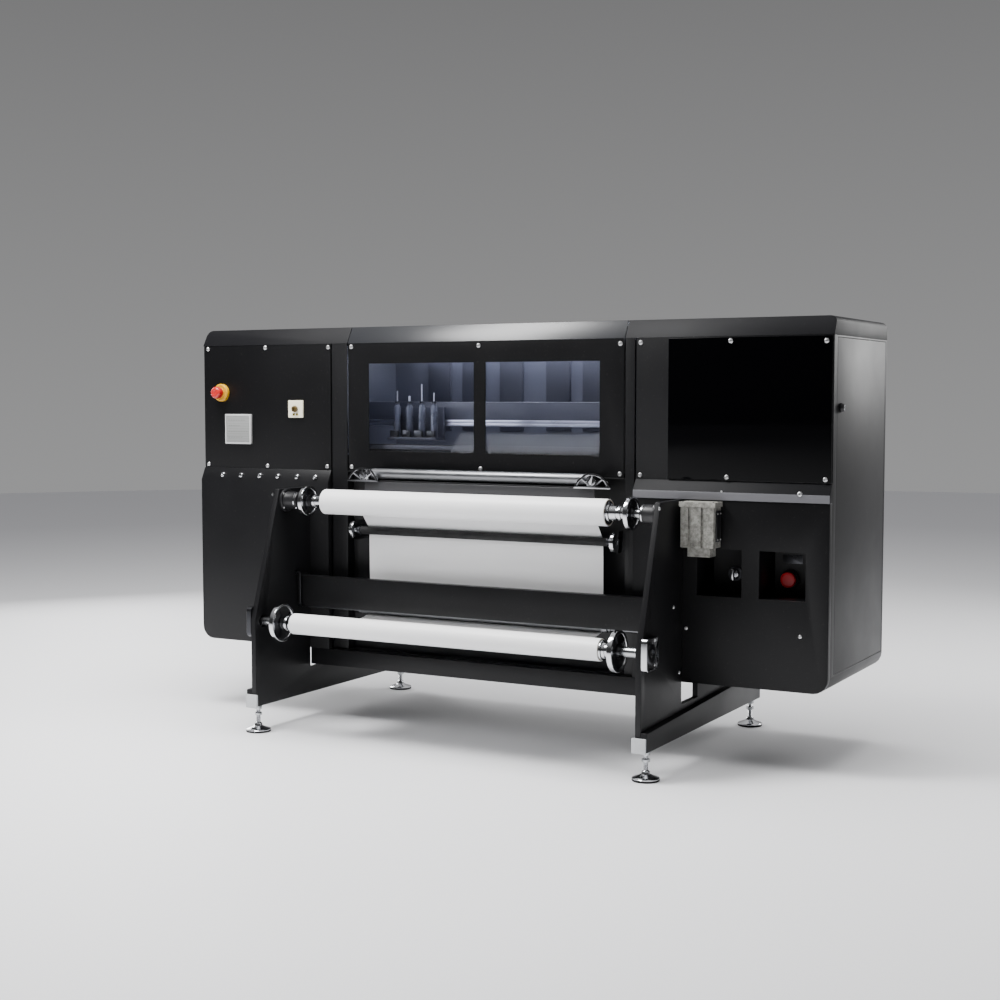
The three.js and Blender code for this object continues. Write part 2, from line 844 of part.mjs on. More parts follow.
const takeupHalf = legInner - takeupEndGap;
const housingInner = legOuter + clearance;
const housingOuter = housingInner + housingLength;
const takeupShaft = turned(
  'x',
  shaftProfile({
    tubeEnd: takeupHalf,
    chuckRadius: takeupRadius - tubeWall - clearance,
    hubRadius: 22,
    discAt: legInner - takeupDiscGap - takeupDiscThickness / 2,
    discThickness: takeupDiscThickness,
    discRadius: takeupDiscRadius,
    end: housingOuter - 4,
  }),
  smallSides,
);
add('takeup_tube', tube(takeupHalf, takeupRadius, takeupRadius - tubeWall), paper).position.set(0, takeupBack, takeupUp);
add('takeup_shaft', takeupShaft, chrome).position.set(0, takeupBack, takeupUp);

function housing() {
  const w = housingWidth / 2;
  const h = housingHeight / 2;
  const r = 14;
  const block = [
    ...arc(w - r, h - r, r, 0, 90, 4),
    ...arc(-w + r, h - r, r, 90, 180, 4),
    ...arc(-w + r, -h + r, r, 180, 270, 4),
    ...arc(w - r, -h + r, r, 270, 360, 4),
  ];
  const bore = shaftRadius + runningClearance;
  const hole = turned('x', [[0, 0], [0, bore], [100, bore], [100, 0]], roundSides);
  return cut(prism('x', block, housingInner, housingOuter), at(hole, housingInner - 20, 0, 0));
}
add('takeup_housing_right', housing(), blackPlastic).position.set(0, takeupBack, takeupUp);
add('takeup_housing_left', mirrored(housing()), blackPlastic).position.set(0, takeupBack, takeupUp);

// ---------- Idler, tension bar and web ----------

const idlerHalf = mediaWidth / 2 + idlerOverhang;
const bracketInner = idlerHalf + 19;
const bracketOuter = bracketInner + bracketThickness;
const idler = turned(
  'x',
  [
    [-bracketOuter + 2, 0],
    [-bracketOuter + 2, idlerShaftRadius],
    [-idlerHalf, idlerShaftRadius],
    [-idlerHalf, idlerRadius],
    [idlerHalf, idlerRadius],
    [idlerHalf, idlerShaftRadius],
    [bracketOuter - 2, idlerShaftRadius],
    [bracketOuter - 2, 0],
  ],
  roundSides,
);
add('idler_roller', idler, rubberBlack).position.set(0, idlerBack, idlerUp);

function idlerBracket() {
  const rear = recessBackY - clearance;
  const nose = bracketHeight / 2;
  const side = [
    ...arc(idlerBack, idlerUp, nose, 90, 270, 8),
    [rear, idlerUp - nose],
    [rear, idlerUp + nose],
  ];
  const bore = idlerShaftRadius + runningClearance;
  const hole = turned('x', [[0, 0], [0, bore], [60, bore], [60, 0]], roundSides);
  return cut(prism('x', side, bracketInner, bracketOuter), at(hole, bracketInner - 20, idlerBack, idlerUp));
}
add('idler_bracket_right', idlerBracket(), chrome);
add('idler_bracket_left', mirrored(idlerBracket()), chrome);

const rodEnd = legInner - clearance;
const tensionHalf = mediaWidth / 2 + idlerOverhang;
const tensionBar = turned(
  'x',
  [
    [-rodEnd + 1, 0],
    [-rodEnd + 1, tensionRodRadius],
    [-tensionHalf, tensionRodRadius],
    [-tensionHalf, tensionRadius],
    [tensionHalf, tensionRadius],
    [tensionHalf, tensionRodRadius],
    [rodEnd - 1, tensionRodRadius],
    [rodEnd - 1, 0],
  ],
  smallSides,
);
add('tension_bar', tensionBar, steel).position.set(0, tensionBack, tensionUp);

// The web leaves the top of the supply roll, goes over the back of the idler, under the tension bar and on to
// the underside of the take-up roll. Each roll lies to the right of the web's way.
function webPath(offset) {
  const rolls = [
    [supplyBack, supplyUp, supplyRadius],
    [idlerBack, idlerUp, idlerRadius],
    [tensionBack, tensionUp, tensionRadius],
    [takeupBack, takeupUp, takeupRadius],
  ].map(([y, z, r]) => ({ y, z, r: r + clearance + offset }));
  const normals = [];
  for (let i = 0; i < rolls.length - 1; i += 1) {
    const [a, b] = [rolls[i], rolls[i + 1]];
    const reach = Math.hypot(b.y - a.y, b.z - a.z);
    normals.push(Math.atan2(b.z - a.z, b.y - a.y) + Math.PI / 2 - Math.asin((a.r - b.r) / reach));
  }
  const points = [];
  const touch = (roll, angle) => points.push([roll.y + roll.r * Math.cos(angle), roll.z + roll.r * Math.sin(angle)]);
  touch(rolls[0], normals[0]);
  for (let i = 1; i < rolls.length - 1; i += 1) {
    const from = normals[i - 1];
    let to = normals[i];
    while (to > from) to -= 2 * Math.PI;
    const steps = 8;
    for (let k = 0; k <= steps; k += 1) touch(rolls[i], from + ((to - from) * k) / steps);
  }
  touch(rolls[rolls.length - 1], normals[normals.length - 1]);
  return points;
}
// arcs drawn as chords cut the corner a little, so the web runs that much further out
const chordAllowance = 0.6;
const webOutline = [...webPath(chordAllowance + webThickness), ...webPath(chordAllowance).reverse()];
add('media_web', prism('x', webOutline, -mediaWidth / 2, mediaWidth / 2), paper);

// ---------- Guide roller ----------

const lugInner = guideHalfLength + 3;
const lugOuter = lugInner + 10;
const guide = turned(
  'x',
  [
    [-lugOuter + 2, 0],
    [-lugOuter + 2, guideShaftRadius],
    [-guideHalfLength, guideShaftRadius],
    [-guideHalfLength, guideRadius],
    [guideHalfLength, guideRadius],
    [guideHalfLength, guideShaftRadius],
    [lugOuter - 2, guideShaftRadius],
    [lugOuter - 2, 0],
  ],
  roundSides,
);
add('guide_roller', guide, chrome).position.set(0, guideBack, guideUp);

// half-round bracket facing the front, with a hub on three spokes, on a lug that carries the roller
function archBracket() {
  const front = guideBack - guideRadius - 4 - archThickness;
  const rear = front + archThickness;
  const base = apronTop + clearance;
  const centreZ = guideUp + guideRadius + 4 - archRadius;
  const low = Math.max(base, centreZ);
  const disc = prism('y', [...arc(archCentre, centreZ, archRadius, 0, 180, 14)], front, rear);
  const hollow = prism('y', arc(archCentre, centreZ, archRadius - archBand, 0, 180, 14), front - 5, rear + 5);
  const band = cut(disc, hollow);
  const foot = box(archCentre - archRadius, archCentre + archRadius, front, rear, low, low + 6);
  const hub = at(turned('y', [[front, 0], [front, 12], [rear, 12], [rear, 0]], smallSides), archCentre, 0, low + 22);
  const spokes = [35, 90, 145].map((angle) => {
    const t = THREE.MathUtils.degToRad(angle);
    const spoke = box(0, archRadius - (low - centreZ) - 1, front, rear, -2.5, 2.5);
    spoke.rotateY(-t);
    spoke.translate(archCentre, 0, low + 4);
    return common(spoke, prism('y', arc(archCentre, centreZ, archRadius - 2, 0, 180, 14), front - 1, rear + 1));
  });
  const trimmed = common(join(band, foot, hub, ...spokes), box(0, 2000, front - 1, rear + 1, low, 3000));
  const lug = box(lugInner, lugOuter, rear - 2, -clearance, low, guideUp + guideRadius + 1);
  const bore = guideShaftRadius + runningClearance;
  const hole = at(turned('x', [[0, 0], [0, bore], [40, bore], [40, 0]], roundSides), lugInner - 10, guideBack, guideUp);
  return cut(join(trimmed, lug), hole);
}
add('arch_bracket_right', archBracket(), chrome);
add('arch_bracket_left', mirrored(archBracket()), chrome);

const apronFront = guideBack - guideRadius + 5;
const apronHalf = lugOuter + apronOverhang;
const apron = [
  [apronFront, apronTop - apronHeight],
  [apronFront + sheet, apronTop - apronHeight],
  [apronFront + sheet, apronTop - sheet],
  [recessBackY - clearance, apronTop - sheet],
  [recessBackY - clearance, apronTop],
  [apronFront, apronTop],
];
add('apron_bar', prism('x', apron, -apronHalf, apronHalf), darkSheet);

// ---------- Feed motor ----------

function feedMotor() {
  const x0 = legOuter + motorGap;
  const x1 = x0 + motorWidth;
  const rear = lowerFront - clearance;
  const front = rear - motorDepth;
  const grooveWidth = 9;
  const grooveDepth = 8;
  const section = [[x0, rear], [x0, front]];
  [0.27, 0.66].forEach((share) => {
    const g = x0 + share * motorWidth;
    section.push([g - grooveWidth / 2, front]);
    section.push([g - grooveWidth / 2, front + grooveDepth]);
    section.push([g + grooveWidth / 2, front + grooveDepth]);
    section.push([g + grooveWidth / 2, front]);
  });
  section.push([x1, front], [x1, rear]);
  const body = prism('z', section, motorTop - motorHeight, motorTop);
  const flange = box(x0 - 4, x1 + 6, front - 3, rear, motorTop - 0.5, motorTop + motorFlange);
  const stubX0 = x0 + 0.2 * motorWidth;
  const stubX1 = x0 + 0.88 * motorWidth;
  const stub = box(stubX0, stubX1, front + 6, rear - 6, motorTop - motorHeight - motorStub, motorTop - motorHeight + 0.5);
  return join(body, flange, stub);
}
add('feed_motor', feedMotor(), castGrey);

// ---------- Inside the print bay ----------

const linerX0 = postLeftInner - 53;
const linerX1 = postRightInner + 22;
const linerFront = paneY + paneThickness + clearance;
const linerBack = linerFront + bayDepth;
const linerFloor = platenTop - platenThickness - clearance - sheet;
const linerTop = panelTop - 6;
const printBay = cut(
  box(linerX0, linerX1, linerFront, linerBack, linerFloor, linerTop),
  box(linerX0 + sheet, linerX1 - sheet, linerFront - 10, linerBack - sheet, linerFloor + sheet, linerTop + 10),
);
add('print_bay', printBay, liner);

const platenX0 = linerX0 + sheet + clearance + 20;
const platenX1 = linerX1 - sheet - clearance - 20;
const platenFloor = linerFloor + sheet + clearance;
const platenFront = linerFront + 45;
const platenRear = platenFront + 270;
add('platen', box(platenX0, platenX1, platenFront, platenRear, platenFloor, platenTop), aluminium);

// gantry beam with a rail lip along the lower edge of its front
const gantryX0 = linerX0 + sheet + clearance;
const gantryX1 = linerX1 - sheet - clearance;
const gantryFront = linerFront + 140;
const railHeight = 20;
const railProud = 12;
const gantry = [
  [gantryFront, gantryBottom],
  [gantryFront + railProud + gantryDepth, gantryBottom],
  [gantryFront + railProud + gantryDepth, gantryBottom + gantryHeight],
  [gantryFront + railProud, gantryBottom + gantryHeight],
  [gantryFront + railProud, gantryBottom + railHeight],
  [gantryFront, gantryBottom + railHeight],
];
add('gantry_beam', prism('x', gantry, gantryX0, gantryX1), aluminium);

// carriage: an open frame on the rail lip, carrying upright ink cartridges
const carriageX0 = windowLeftX0 + 25;
const carriageRear = gantryFront - clearance;
const carriageBottom = gantryBottom - 46;
const plate = 8;
const cartridge = (x) => {
  const body = turned('z', [[0, 0], [0, 12], [110, 12], [110, 7], [124, 7], [124, 0]], 12);
  return at(body, x, carriageRear - 34, carriageBottom + plate - 1);
};
const carriageX1 = carriageX0 + carriageWidth;
const cartridgePitch = carriageWidth / 4;
const carriage = join(
  box(carriageX0, carriageX1, carriageRear - 64, carriageRear, carriageBottom, carriageBottom + plate),
  box(carriageX0, carriageX1, carriageRear - plate, carriageRear, carriageBottom, gantryBottom + railHeight + 40),
  ...[0.5, 1.5, 2.5, 3.5].map((n) => cartridge(carriageX0 + n * cartridgePitch)),
);
add('print_carriage', carriage, steel);

// ---------- Place the machine: centred over the origin, standing on z = 0 ----------

machine.updateMatrixWorld(true);
const bounds = new THREE.Box3().setFromObject(machine);
const middle = bounds.getCenter(new THREE.Vector3());
machine.position.set(-middle.x, -middle.y, -bounds.min.z);
machine.updateMatrixWorld(true);

export default machine;
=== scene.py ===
import math

import bmesh
import bpy
from mathutils import Matrix, Vector


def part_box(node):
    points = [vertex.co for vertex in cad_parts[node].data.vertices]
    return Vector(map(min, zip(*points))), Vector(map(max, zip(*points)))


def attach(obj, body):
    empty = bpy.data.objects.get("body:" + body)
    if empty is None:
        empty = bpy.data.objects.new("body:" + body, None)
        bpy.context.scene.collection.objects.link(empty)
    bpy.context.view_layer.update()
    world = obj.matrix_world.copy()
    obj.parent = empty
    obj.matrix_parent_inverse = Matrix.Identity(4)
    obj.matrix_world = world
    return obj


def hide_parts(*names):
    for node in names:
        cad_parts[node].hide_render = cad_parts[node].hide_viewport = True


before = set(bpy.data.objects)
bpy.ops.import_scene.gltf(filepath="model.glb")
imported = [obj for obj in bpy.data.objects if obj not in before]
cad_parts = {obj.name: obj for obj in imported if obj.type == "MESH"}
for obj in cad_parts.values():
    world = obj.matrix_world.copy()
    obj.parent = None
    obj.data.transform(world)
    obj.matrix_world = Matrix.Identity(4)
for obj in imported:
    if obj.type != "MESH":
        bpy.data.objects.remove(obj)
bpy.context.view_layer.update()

mm = 0.001


# small helpers for meshes and nodes

def hexColour(text):
    # sRGB hex to the linear values that shaders take
    parts = [int(text[i:i + 2], 16) / 255 for i in (1, 3, 5)]
    return tuple(c / 12.92 if c <= 0.04045 else ((c + 0.055) / 1.055) ** 2.4 for c in parts) + (1.0,)


def setInputs(node, inputs):
    # each input gets a value, a link from a socket, or a link from a node's first output
    for name, value in inputs.items():
        if isinstance(value, bpy.types.Node):
            value = value.outputs[0]
        if isinstance(value, bpy.types.NodeSocket):
            node.id_data.links.new(value, node.inputs[name])
        else:
            node.inputs[name].default_value = value


def addNode(tree, kind, inputs=None, **settings):
    node = tree.nodes.new(kind)
    for key, value in settings.items():
        setattr(node, key, value)
    setInputs(node, inputs or {})
    return node


def newPiece(name, mesh, finishes, slotName, stands=(), sharpAngle=32, body="machine"):
    # one finished mesh object: smooth faces, sharp edges where the shape turns, riding on its body
    mesh.name = name
    if not mesh.materials:
        for finish in finishes if isinstance(finishes, (list, tuple)) else [finishes]:
            mesh.materials.append(finish)
    mesh.shade_smooth()
    mesh.set_sharp_from_angle(angle=math.radians(sharpAngle))
    piece = bpy.data.objects.new(name, mesh)
    bpy.context.scene.collection.objects.link(piece)
    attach(piece, body)
    if stands:
        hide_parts(*stands)
    return piece


def meshFrom(bm, name="shape"):
    mesh = bpy.data.meshes.new(name)
    bm.to_mesh(mesh)
    bm.free()
    return mesh


def closedUp(bm, distance=1e-6):
    bmesh.ops.remove_doubles(bm, verts=bm.verts, dist=distance)
    bmesh.ops.recalc_face_normals(bm, faces=bm.faces)
    return bm


def softCopy(node, width, segments=2, angle=30):
    # a merged copy of a CAD node with its sharp edges rounded over
    bm = bmesh.new()
    bm.from_mesh(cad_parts[node].data)
    bmesh.ops.remove_doubles(bm, verts=bm.verts, dist=1e-5)
    bmesh.ops.dissolve_limit(bm, angle_limit=math.radians(0.6), verts=bm.verts, edges=bm.edges)
    edges = [e for e in bm.edges if len(e.link_faces) == 2 and e.calc_face_angle(0) > math.radians(angle)]
    bmesh.ops.bevel(bm, geom=edges, offset=width, segments=segments, profile=0.6, affect="EDGES",
                    clamp_overlap=True)
    mesh = meshFrom(bm, node)
    mesh.materials.clear()
    return mesh


def roundedProfile(points, radius, steps=3):
    # fillets the inner corners of a (along, radius) profile
    result = [points[0]]
    for before, here, after in zip(points, points[1:], points[2:]):
        a, b, c = Vector(before), Vector(here), Vector(after)
        toA, toC = (a - b), (c - b)
        if toA.length < 1e-7 or toC.length < 1e-7:
            continue
        reach = min(radius, toA.length * 0.45, toC.length * 0.45)
        start, end = b + toA.normalized() * reach, b + toC.normalized() * reach
        for i in range(steps + 1):
            t = i / steps
            result.append(tuple((1 - t) ** 2 * start + 2 * t * (1 - t) * b + t ** 2 * end))
    result.append(points[-1])
    return result


def turnedShape(bm, axis, centre, profile, sides=48):
    # turns a profile of (along, radius) pairs in mm about an axis; a radius of 0 closes to a point
    main = "xyz".index(axis)
    u, v = [(1, 2), (2, 0), (0, 1)][main]
    rings = []
    for along, radius in profile:
        ring = []
        count = sides if radius else 1
        for i in range(count):
            angle = 2 * math.pi * i / sides
            place = Vector(centre)
            place[main] += along * mm
            place[u] += radius * mm * math.cos(angle)
            place[v] += radius * mm * math.sin(angle)
            ring.append(bm.verts.new(place))
        rings.append(ring)
    for first, second in zip(rings, rings[1:]):
        for i in range(sides):
            j = (i + 1) % sides
            corners = [ring[k % len(ring)] for ring, k in ((first, i), (first, j), (second, j), (second, i))]
            unique = list(dict.fromkeys(corners))
            if len(unique) > 2:
                bm.faces.new(unique)


def turnedMesh(axis, centre, profile, sides=48, ring=False, side=1):
    # "ring" joins the profile's end to its start; a side of -1 turns it to face the other way
    bm = bmesh.new()
    shape = [(side * along, radius) for along, radius in profile]
    turnedShape(bm, axis, centre, shape + (shape[:1] if ring else []), sides)
    return meshFrom(closedUp(bm, 0.005 * mm))


def addBlock(bm, low, high, bevel=0.0, segments=2, turn=None, about=None):
    made = bmesh.ops.create_cube(bm, size=1.0)["verts"]
    size = Vector(high) - Vector(low)
    middle = (Vector(high) + Vector(low)) / 2
    for vert in made:
        vert.co = Vector([vert.co[i] * size[i] for i in range(3)]) + middle
    if bevel:
        edges = list({e for vert in made for e in vert.link_edges})
        done = bmesh.ops.bevel(bm, geom=edges, offset=bevel, segments=segments, profile=0.6, affect="EDGES",
                               clamp_overlap=True)
        made = list({vert for face in done["faces"] for vert in face.verts} | {v for v in made if v.is_valid})
    if turn:
        bmesh.ops.rotate(bm, cent=about or middle, matrix=turn, verts=made)
    return made


def blockMesh(blocks, bevel, segments=2):
    bm = bmesh.new()
    for low, high in blocks:
        addBlock(bm, low, high, bevel, segments)
    bmesh.ops.recalc_face_normals(bm, faces=bm.faces)
    return meshFrom(bm)


def addSkin(bm, rings, closed=False, caps=False):
    # quads from ring to ring, where a ring is a list of places; "closed" also joins the last ring to the first
    layers = [[bm.verts.new(place) for place in ring] for ring in rings]
    faces = [bm.faces.new(layers[0]), bm.faces.new(layers[-1])] if caps else []
    for first, second in zip(layers, layers[1:] + (layers[:1] if closed else [])):
        for i in range(len(first)):
            j = (i + 1) % len(first)
            faces.append(bm.faces.new([first[i], first[j], second[j], second[i]]))
    bmesh.ops.recalc_face_normals(bm, faces=faces)
    return faces


def addPrism(bm, axis, outline, start, end, bevel=0.0):
    # outline holds the two other coordinates, in x, y, z order
    main = "xyz".index(axis)
    others = [i for i in range(3) if i != main]
    layers = []
    for along in (start, end):
        layer = []
        for a, b in outline:
            place = Vector((0, 0, 0))
            place[main], place[others[0]], place[others[1]] = along, a, b
            layer.append(place)
        layers.append(layer)
    faces = addSkin(bm, layers, caps=True)
    if bevel:
        edges = [e for e in {e for f in faces for e in f.edges} if e.calc_face_angle(0) > math.radians(30)]
        bmesh.ops.bevel(bm, geom=edges, offset=bevel, segments=2, profile=0.6, affect="EDGES", clamp_overlap=True)


def prismMesh(axis, outline, start, end, bevel=0.0):
    bm = bmesh.new()
    addPrism(bm, axis, outline, start, end, bevel)
    return meshFrom(bm)


def roundedRect(width, height, radius, steps=5, centre=(0, 0)):
    points = []
    for cx, cy, start in ((1, 1, 0), (-1, 1, 90), (-1, -1, 180), (1, -1, 270)):
        for i in range(steps + 1):
            angle = math.radians(start + 90 * i / steps)
            points.append((centre[0] + cx * (width / 2 - radius) + radius * math.cos(angle),
                           centre[1] + cy * (height / 2 - radius) + radius * math.sin(angle)))
    return points


def sweptTube(points, radius, sides=12):
    # a round bar along a path, with flat ends
    curve = bpy.data.curves.new("path", "CURVE")
    curve.dimensions = "3D"
    curve.bevel_depth = radius
    curve.bevel_resolution = max(1, sides // 4)
    curve.use_fill_caps = True
    spline = curve.splines.new("POLY")
    spline.points.add(len(points) - 1)
    for point, place in zip(spline.points, points):
        point.co = (*place, 1)
    holder = bpy.data.objects.new("path", curve)
    bpy.context.scene.collection.objects.link(holder)
    bpy.context.view_layer.update()
    mesh = bpy.data.meshes.new_from_object(holder.evaluated_get(bpy.context.evaluated_depsgraph_get()))
    bpy.data.objects.remove(holder)
    bpy.data.curves.remove(curve)
    bm = bmesh.new()
    bm.from_mesh(mesh)
    bpy.data.meshes.remove(mesh)
    return meshFrom(closedUp(bm))


def joined(meshes):
    bm = bmesh.new()
    for mesh in meshes:
        bm.from_mesh(mesh)
        bpy.data.meshes.remove(mesh)
    return meshFrom(bm)


# finishes: each one is named for what it is

def newFinish(name):
    finish = bpy.data.materials.new(name)
    finish.use_nodes = True
    tree = finish.node_tree
    shader = tree.nodes["Principled BSDF"]
    place = addNode(tree, "ShaderNodeTexCoord").outputs["Object"]
    return finish, tree, shader, place


def powderCoat(name, look):
    # baked polyester powder on steel: satin, faint orange peel, a little dust and finger haze
    finish, tree, shader, place = newFinish(name)
    haze = addNode(tree, "ShaderNodeTexNoise", {"Vector": place, "Scale": 2.6, "Detail": 4, "Roughness": 0.6})
    dust = addNode(tree, "ShaderNodeTexNoise", {"Vector": place, "Scale": 130, "Detail": 3, "Roughness": 0.7})
    tone = addNode(tree, "ShaderNodeMix", {0: haze, 6: hexColour(look["deep"]),
                                           7: hexColour(look["light"])}, data_type="RGBA")
    specks = addNode(tree, "ShaderNodeMapRange", {"Value": dust, "From Min": 0.62, "From Max": 0.8,
                                                  "To Min": 0.0, "To Max": look.get("dust", 0.10)})
    dusty = addNode(tree, "ShaderNodeMix", {0: specks, 6: tone.outputs[2],
                                            7: hexColour("#7c7b78")}, data_type="RGBA")
    spread = addNode(tree, "ShaderNodeMapRange", {"Value": haze, "From Min": 0.3, "From Max": 0.7,
                                                  "To Min": look["rough"] - look.get("haze", 0.05),
                                                  "To Max": look["rough"] + look.get("haze", 0.05)})
    # orange peel has cells of about 1.5 mm, drawn at 3 mm so that it shows
    peel = addNode(tree, "ShaderNodeTexNoise", {"Vector": place, "Scale": 1 / 0.003, "Detail": 1})
    bump = addNode(tree, "ShaderNodeBump", {"Height": peel, "Strength": look.get("peel", 0.10),
                                            "Distance": 0.0003})
    setInputs(shader, {"Base Color": dusty.outputs[2], "Roughness": spread, "Normal": bump,
                       "IOR": look.get("ior", 1.5)})
    return finish


def metalFinish(name, look):
    # bare or plated metal; "stretch" is below 1 on the axes that the grain is drawn out along
    finish, tree, shader, place = newFinish(name)
    stretch = look.get("stretch", (1, 1, 1))
    mapped = addNode(tree, "ShaderNodeMapping", {"Vector": place, "Scale": stretch})
    grain = addNode(tree, "ShaderNodeTexNoise", {"Vector": mapped, "Scale": look.get("scale", 400),
                                                 "Detail": 3, "Roughness": 0.6})
    haze = addNode(tree, "ShaderNodeTexNoise", {"Vector": place, "Scale": 9, "Detail": 4, "Roughness": 0.6})
    tone = addNode(tree, "ShaderNodeMix", {0: haze, 6: hexColour(look["deep"]),
                                           7: hexColour(look["light"])}, data_type="RGBA")
    both = addNode(tree, "ShaderNodeMath", {0: haze, 1: grain}, operation="MULTIPLY")
    spread = addNode(tree, "ShaderNodeMapRange", {"Value": both, "From Min": 0.1, "From Max": 0.45,
                                                  "To Min": look["rough"] * 0.75, "To Max": look["rough"] * 1.35})
    bump = addNode(tree, "ShaderNodeBump", {"Height": grain, "Strength": look.get("bump", 0.05),
                                            "Distance": 0.0002})
    setInputs(shader, {"Base Color": tone.outputs[2], "Roughness": spread, "Normal": bump, "Metallic": 1.0})
    return finish


def mouldedPlastic(name, look):
    # injection moulded: spark-eroded grain of about 0.4 mm, drawn at 1.5 mm
    finish, tree, shader, place = newFinish(name)
    grain = addNode(tree, "ShaderNodeTexNoise", {"Vector": place, "Scale": 1 / 0.0015, "Detail": 2})
    haze = addNode(tree, "ShaderNodeTexNoise", {"Vector": place, "Scale": 30, "Detail": 3})
    tone = addNode(tree, "ShaderNodeMix", {0: haze, 6: hexColour(look["deep"]),
                                           7: hexColour(look["light"])}, data_type="RGBA")
    spread = addNode(tree, "ShaderNodeMapRange", {"Value": haze, "From Min": 0.3, "From Max": 0.7,
                                                  "To Min": look["rough"] * 0.85, "To Max": look["rough"] * 1.15})
    bump = addNode(tree, "ShaderNodeBump", {"Height": grain, "Strength": look.get("bump", 0.08),
                                            "Distance": 0.0003})
    setInputs(shader, {"Base Color": tone.outputs[2], "Roughness": spread, "Normal": bump,
                       "IOR": look.get("ior", 1.5), "Coat Weight": look.get("coat", 0.0), "Coat Roughness": 0.1})
    return finish


satinBlack = powderCoat("satinBlackPowderCoat", {"deep": "#0e0e0f", "light": "#141416", "rough": 0.43, "ior": 1.36})
deepBlack = powderCoat("deepBlackPowderCoat", {"deep": "#09090a", "light": "#0d0d0f", "rough": 0.42, "ior": 1.32})
coverBlack = powderCoat("coverBlackPowderCoat", {"deep": "#0f0f11", "light": "#151517", "rough": 0.46, "dust": 0.05,
                                                 "ior": 1.2})
# centre cover: lighter and glossier than the black covers; the lighter grey is partly its own paint and partly painted
# sheen for the overhead reflection
coverGreyPaintedSheen = powderCoat("coverGreyPaintedSheenPowderCoat", {"deep": "#1b1c1f", "light": "#232427", "rough": 0.28, "dust": 0.04,
                                               "haze": 0.012})
ledgeGrey = powderCoat("ledgeGreyPowderCoat", {"deep": "#5c5c60", "light": "#707074", "rough": 0.42})
apronGrey = powderCoat("apronGreyPowderCoat", {"deep": "#2f2f31", "light": "#3a3a3c", "rough": 0.38})
tableGrey = powderCoat("platenDarkCoat", {"deep": "#121317", "light": "#18191d", "rough": 0.45, "ior": 1.25})
bayGrey = powderCoat("printBayGreyPaint", {"deep": "#4f515b", "light": "#5f626d", "rough": 0.5})

# electroplated chrome on steel: near mirror, slight haze
chromePlate = metalFinish("chromePlatedSteel", {"deep": "#c9cacd", "light": "#dfe0e2", "rough": 0.10, "bump": 0.02})
# steel turned in a lathe: fine rings round X, drawn 0.8 mm apart
turnedSteel = metalFinish("turnedSteel", {"deep": "#a9abad", "light": "#c4c6c8", "rough": 0.24,
                                          "stretch": (1, 0.02, 0.02), "scale": 1200, "bump": 0.10})
# hard-chromed guide roller, darker and rougher than the plated chrome
dullChrome = metalFinish("dullHardChrome", {"deep": "#808184", "light": "#929396", "rough": 0.38, "bump": 0.01})
# zinc-plated button heads, pale and satin
paleZinc = metalFinish("paleZincPlate", {"deep": "#dcdcdd", "light": "#efefef", "rough": 0.38, "bump": 0.02})
darkSteel = metalFinish("blackenedSteel", {"deep": "#3a3a3c", "light": "#55565a", "rough": 0.32, "bump": 0.05})

blackPlastic = mouldedPlastic("blackNylon", {"deep": "#131315", "light": "#1c1c1e", "rough": 0.42})
yellowPlastic = mouldedPlastic("yellowAbs", {"deep": "#d29a10", "light": "#e0aa1c", "rough": 0.32, "coat": 0.3})
redPlastic = mouldedPlastic("redMushroomPlastic", {"deep": "#b01818", "light": "#c42020", "rough": 0.28, "coat": 0.4})
dullRedPlastic = mouldedPlastic("dullRedPlastic", {"deep": "#d81f2b", "light": "#ea2c38", "rough": 0.38})
creamPlastic = mouldedPlastic("creamAbs", {"deep": "#e6dfc4", "light": "#f1ecd8", "rough": 0.42})
brownPlastic = mouldedPlastic("brownKeyPlastic", {"deep": "#4a3b1c", "light": "#6b5830", "rough": 0.4})
whitePlastic = mouldedPlastic("whiteNylonCap", {"deep": "#b4b6b8", "light": "#c6c8ca", "rough": 0.36})
blackRubber = mouldedPlastic("blackRubber", {"deep": "#0c0c0d", "light": "#161617", "rough": 0.72, "bump": 0.2})


def mediaFilm():
    # white self-adhesive vinyl: smooth calendered face, slow waves across the web
    finish, tree, shader, place = newFinish("whiteVinylMedia")
    slow = addNode(tree, "ShaderNodeMapping", {"Vector": place, "Scale": (0.8, 3, 3)})
    wave = addNode(tree, "ShaderNodeTexNoise", {"Vector": slow, "Scale": 3.5, "Detail": 2})
    tone = addNode(tree, "ShaderNodeMix", {0: wave, 6: hexColour("#e9e9ea"),
                                           7: hexColour("#f6f6f6")}, data_type="RGBA")
    grain = addNode(tree, "ShaderNodeTexNoise", {"Vector": place, "Scale": 700, "Detail": 2})
    height = addNode(tree, "ShaderNodeMath", {0: wave, 1: 6.0, 2: grain},
                     operation="MULTIPLY_ADD")
    bump = addNode(tree, "ShaderNodeBump", {"Height": height, "Strength": 0.18, "Distance": 0.0008})
    setInputs(shader, {"Base Color": tone.outputs[2], "Normal": bump, "Roughness": 0.38})
    return finish


def castAlloy():
    # raw aluminium die casting that has weathered: grey, mottled, with small pits
    finish, tree, shader, place = newFinish("weatheredDieCasting")
    blotch = addNode(tree, "ShaderNodeTexNoise", {"Vector": place, "Scale": 70, "Detail": 6, "Roughness": 0.7})
    pits = addNode(tree, "ShaderNodeTexVoronoi", {"Vector": place, "Scale": 330})
    tone = addNode(tree, "ShaderNodeValToRGB", {"Fac": blotch})
    tone.color_ramp.elements[0].position = 0.35
    tone.color_ramp.elements[0].color = hexColour("#6f6e69")
    tone.color_ramp.elements[1].position = 0.68
    tone.color_ramp.elements[1].color = hexColour("#b3b2ab")
    height = addNode(tree, "ShaderNodeMath", {0: blotch, 1: 1.4, 2: pits.outputs["Distance"]},
                     operation="MULTIPLY_ADD")
    bump = addNode(tree, "ShaderNodeBump", {"Height": height, "Strength": 0.55, "Distance": 0.0009})
    setInputs(shader, {"Base Color": tone, "Normal": bump, "Roughness": 0.6, "Metallic": 0.25})
    return finish


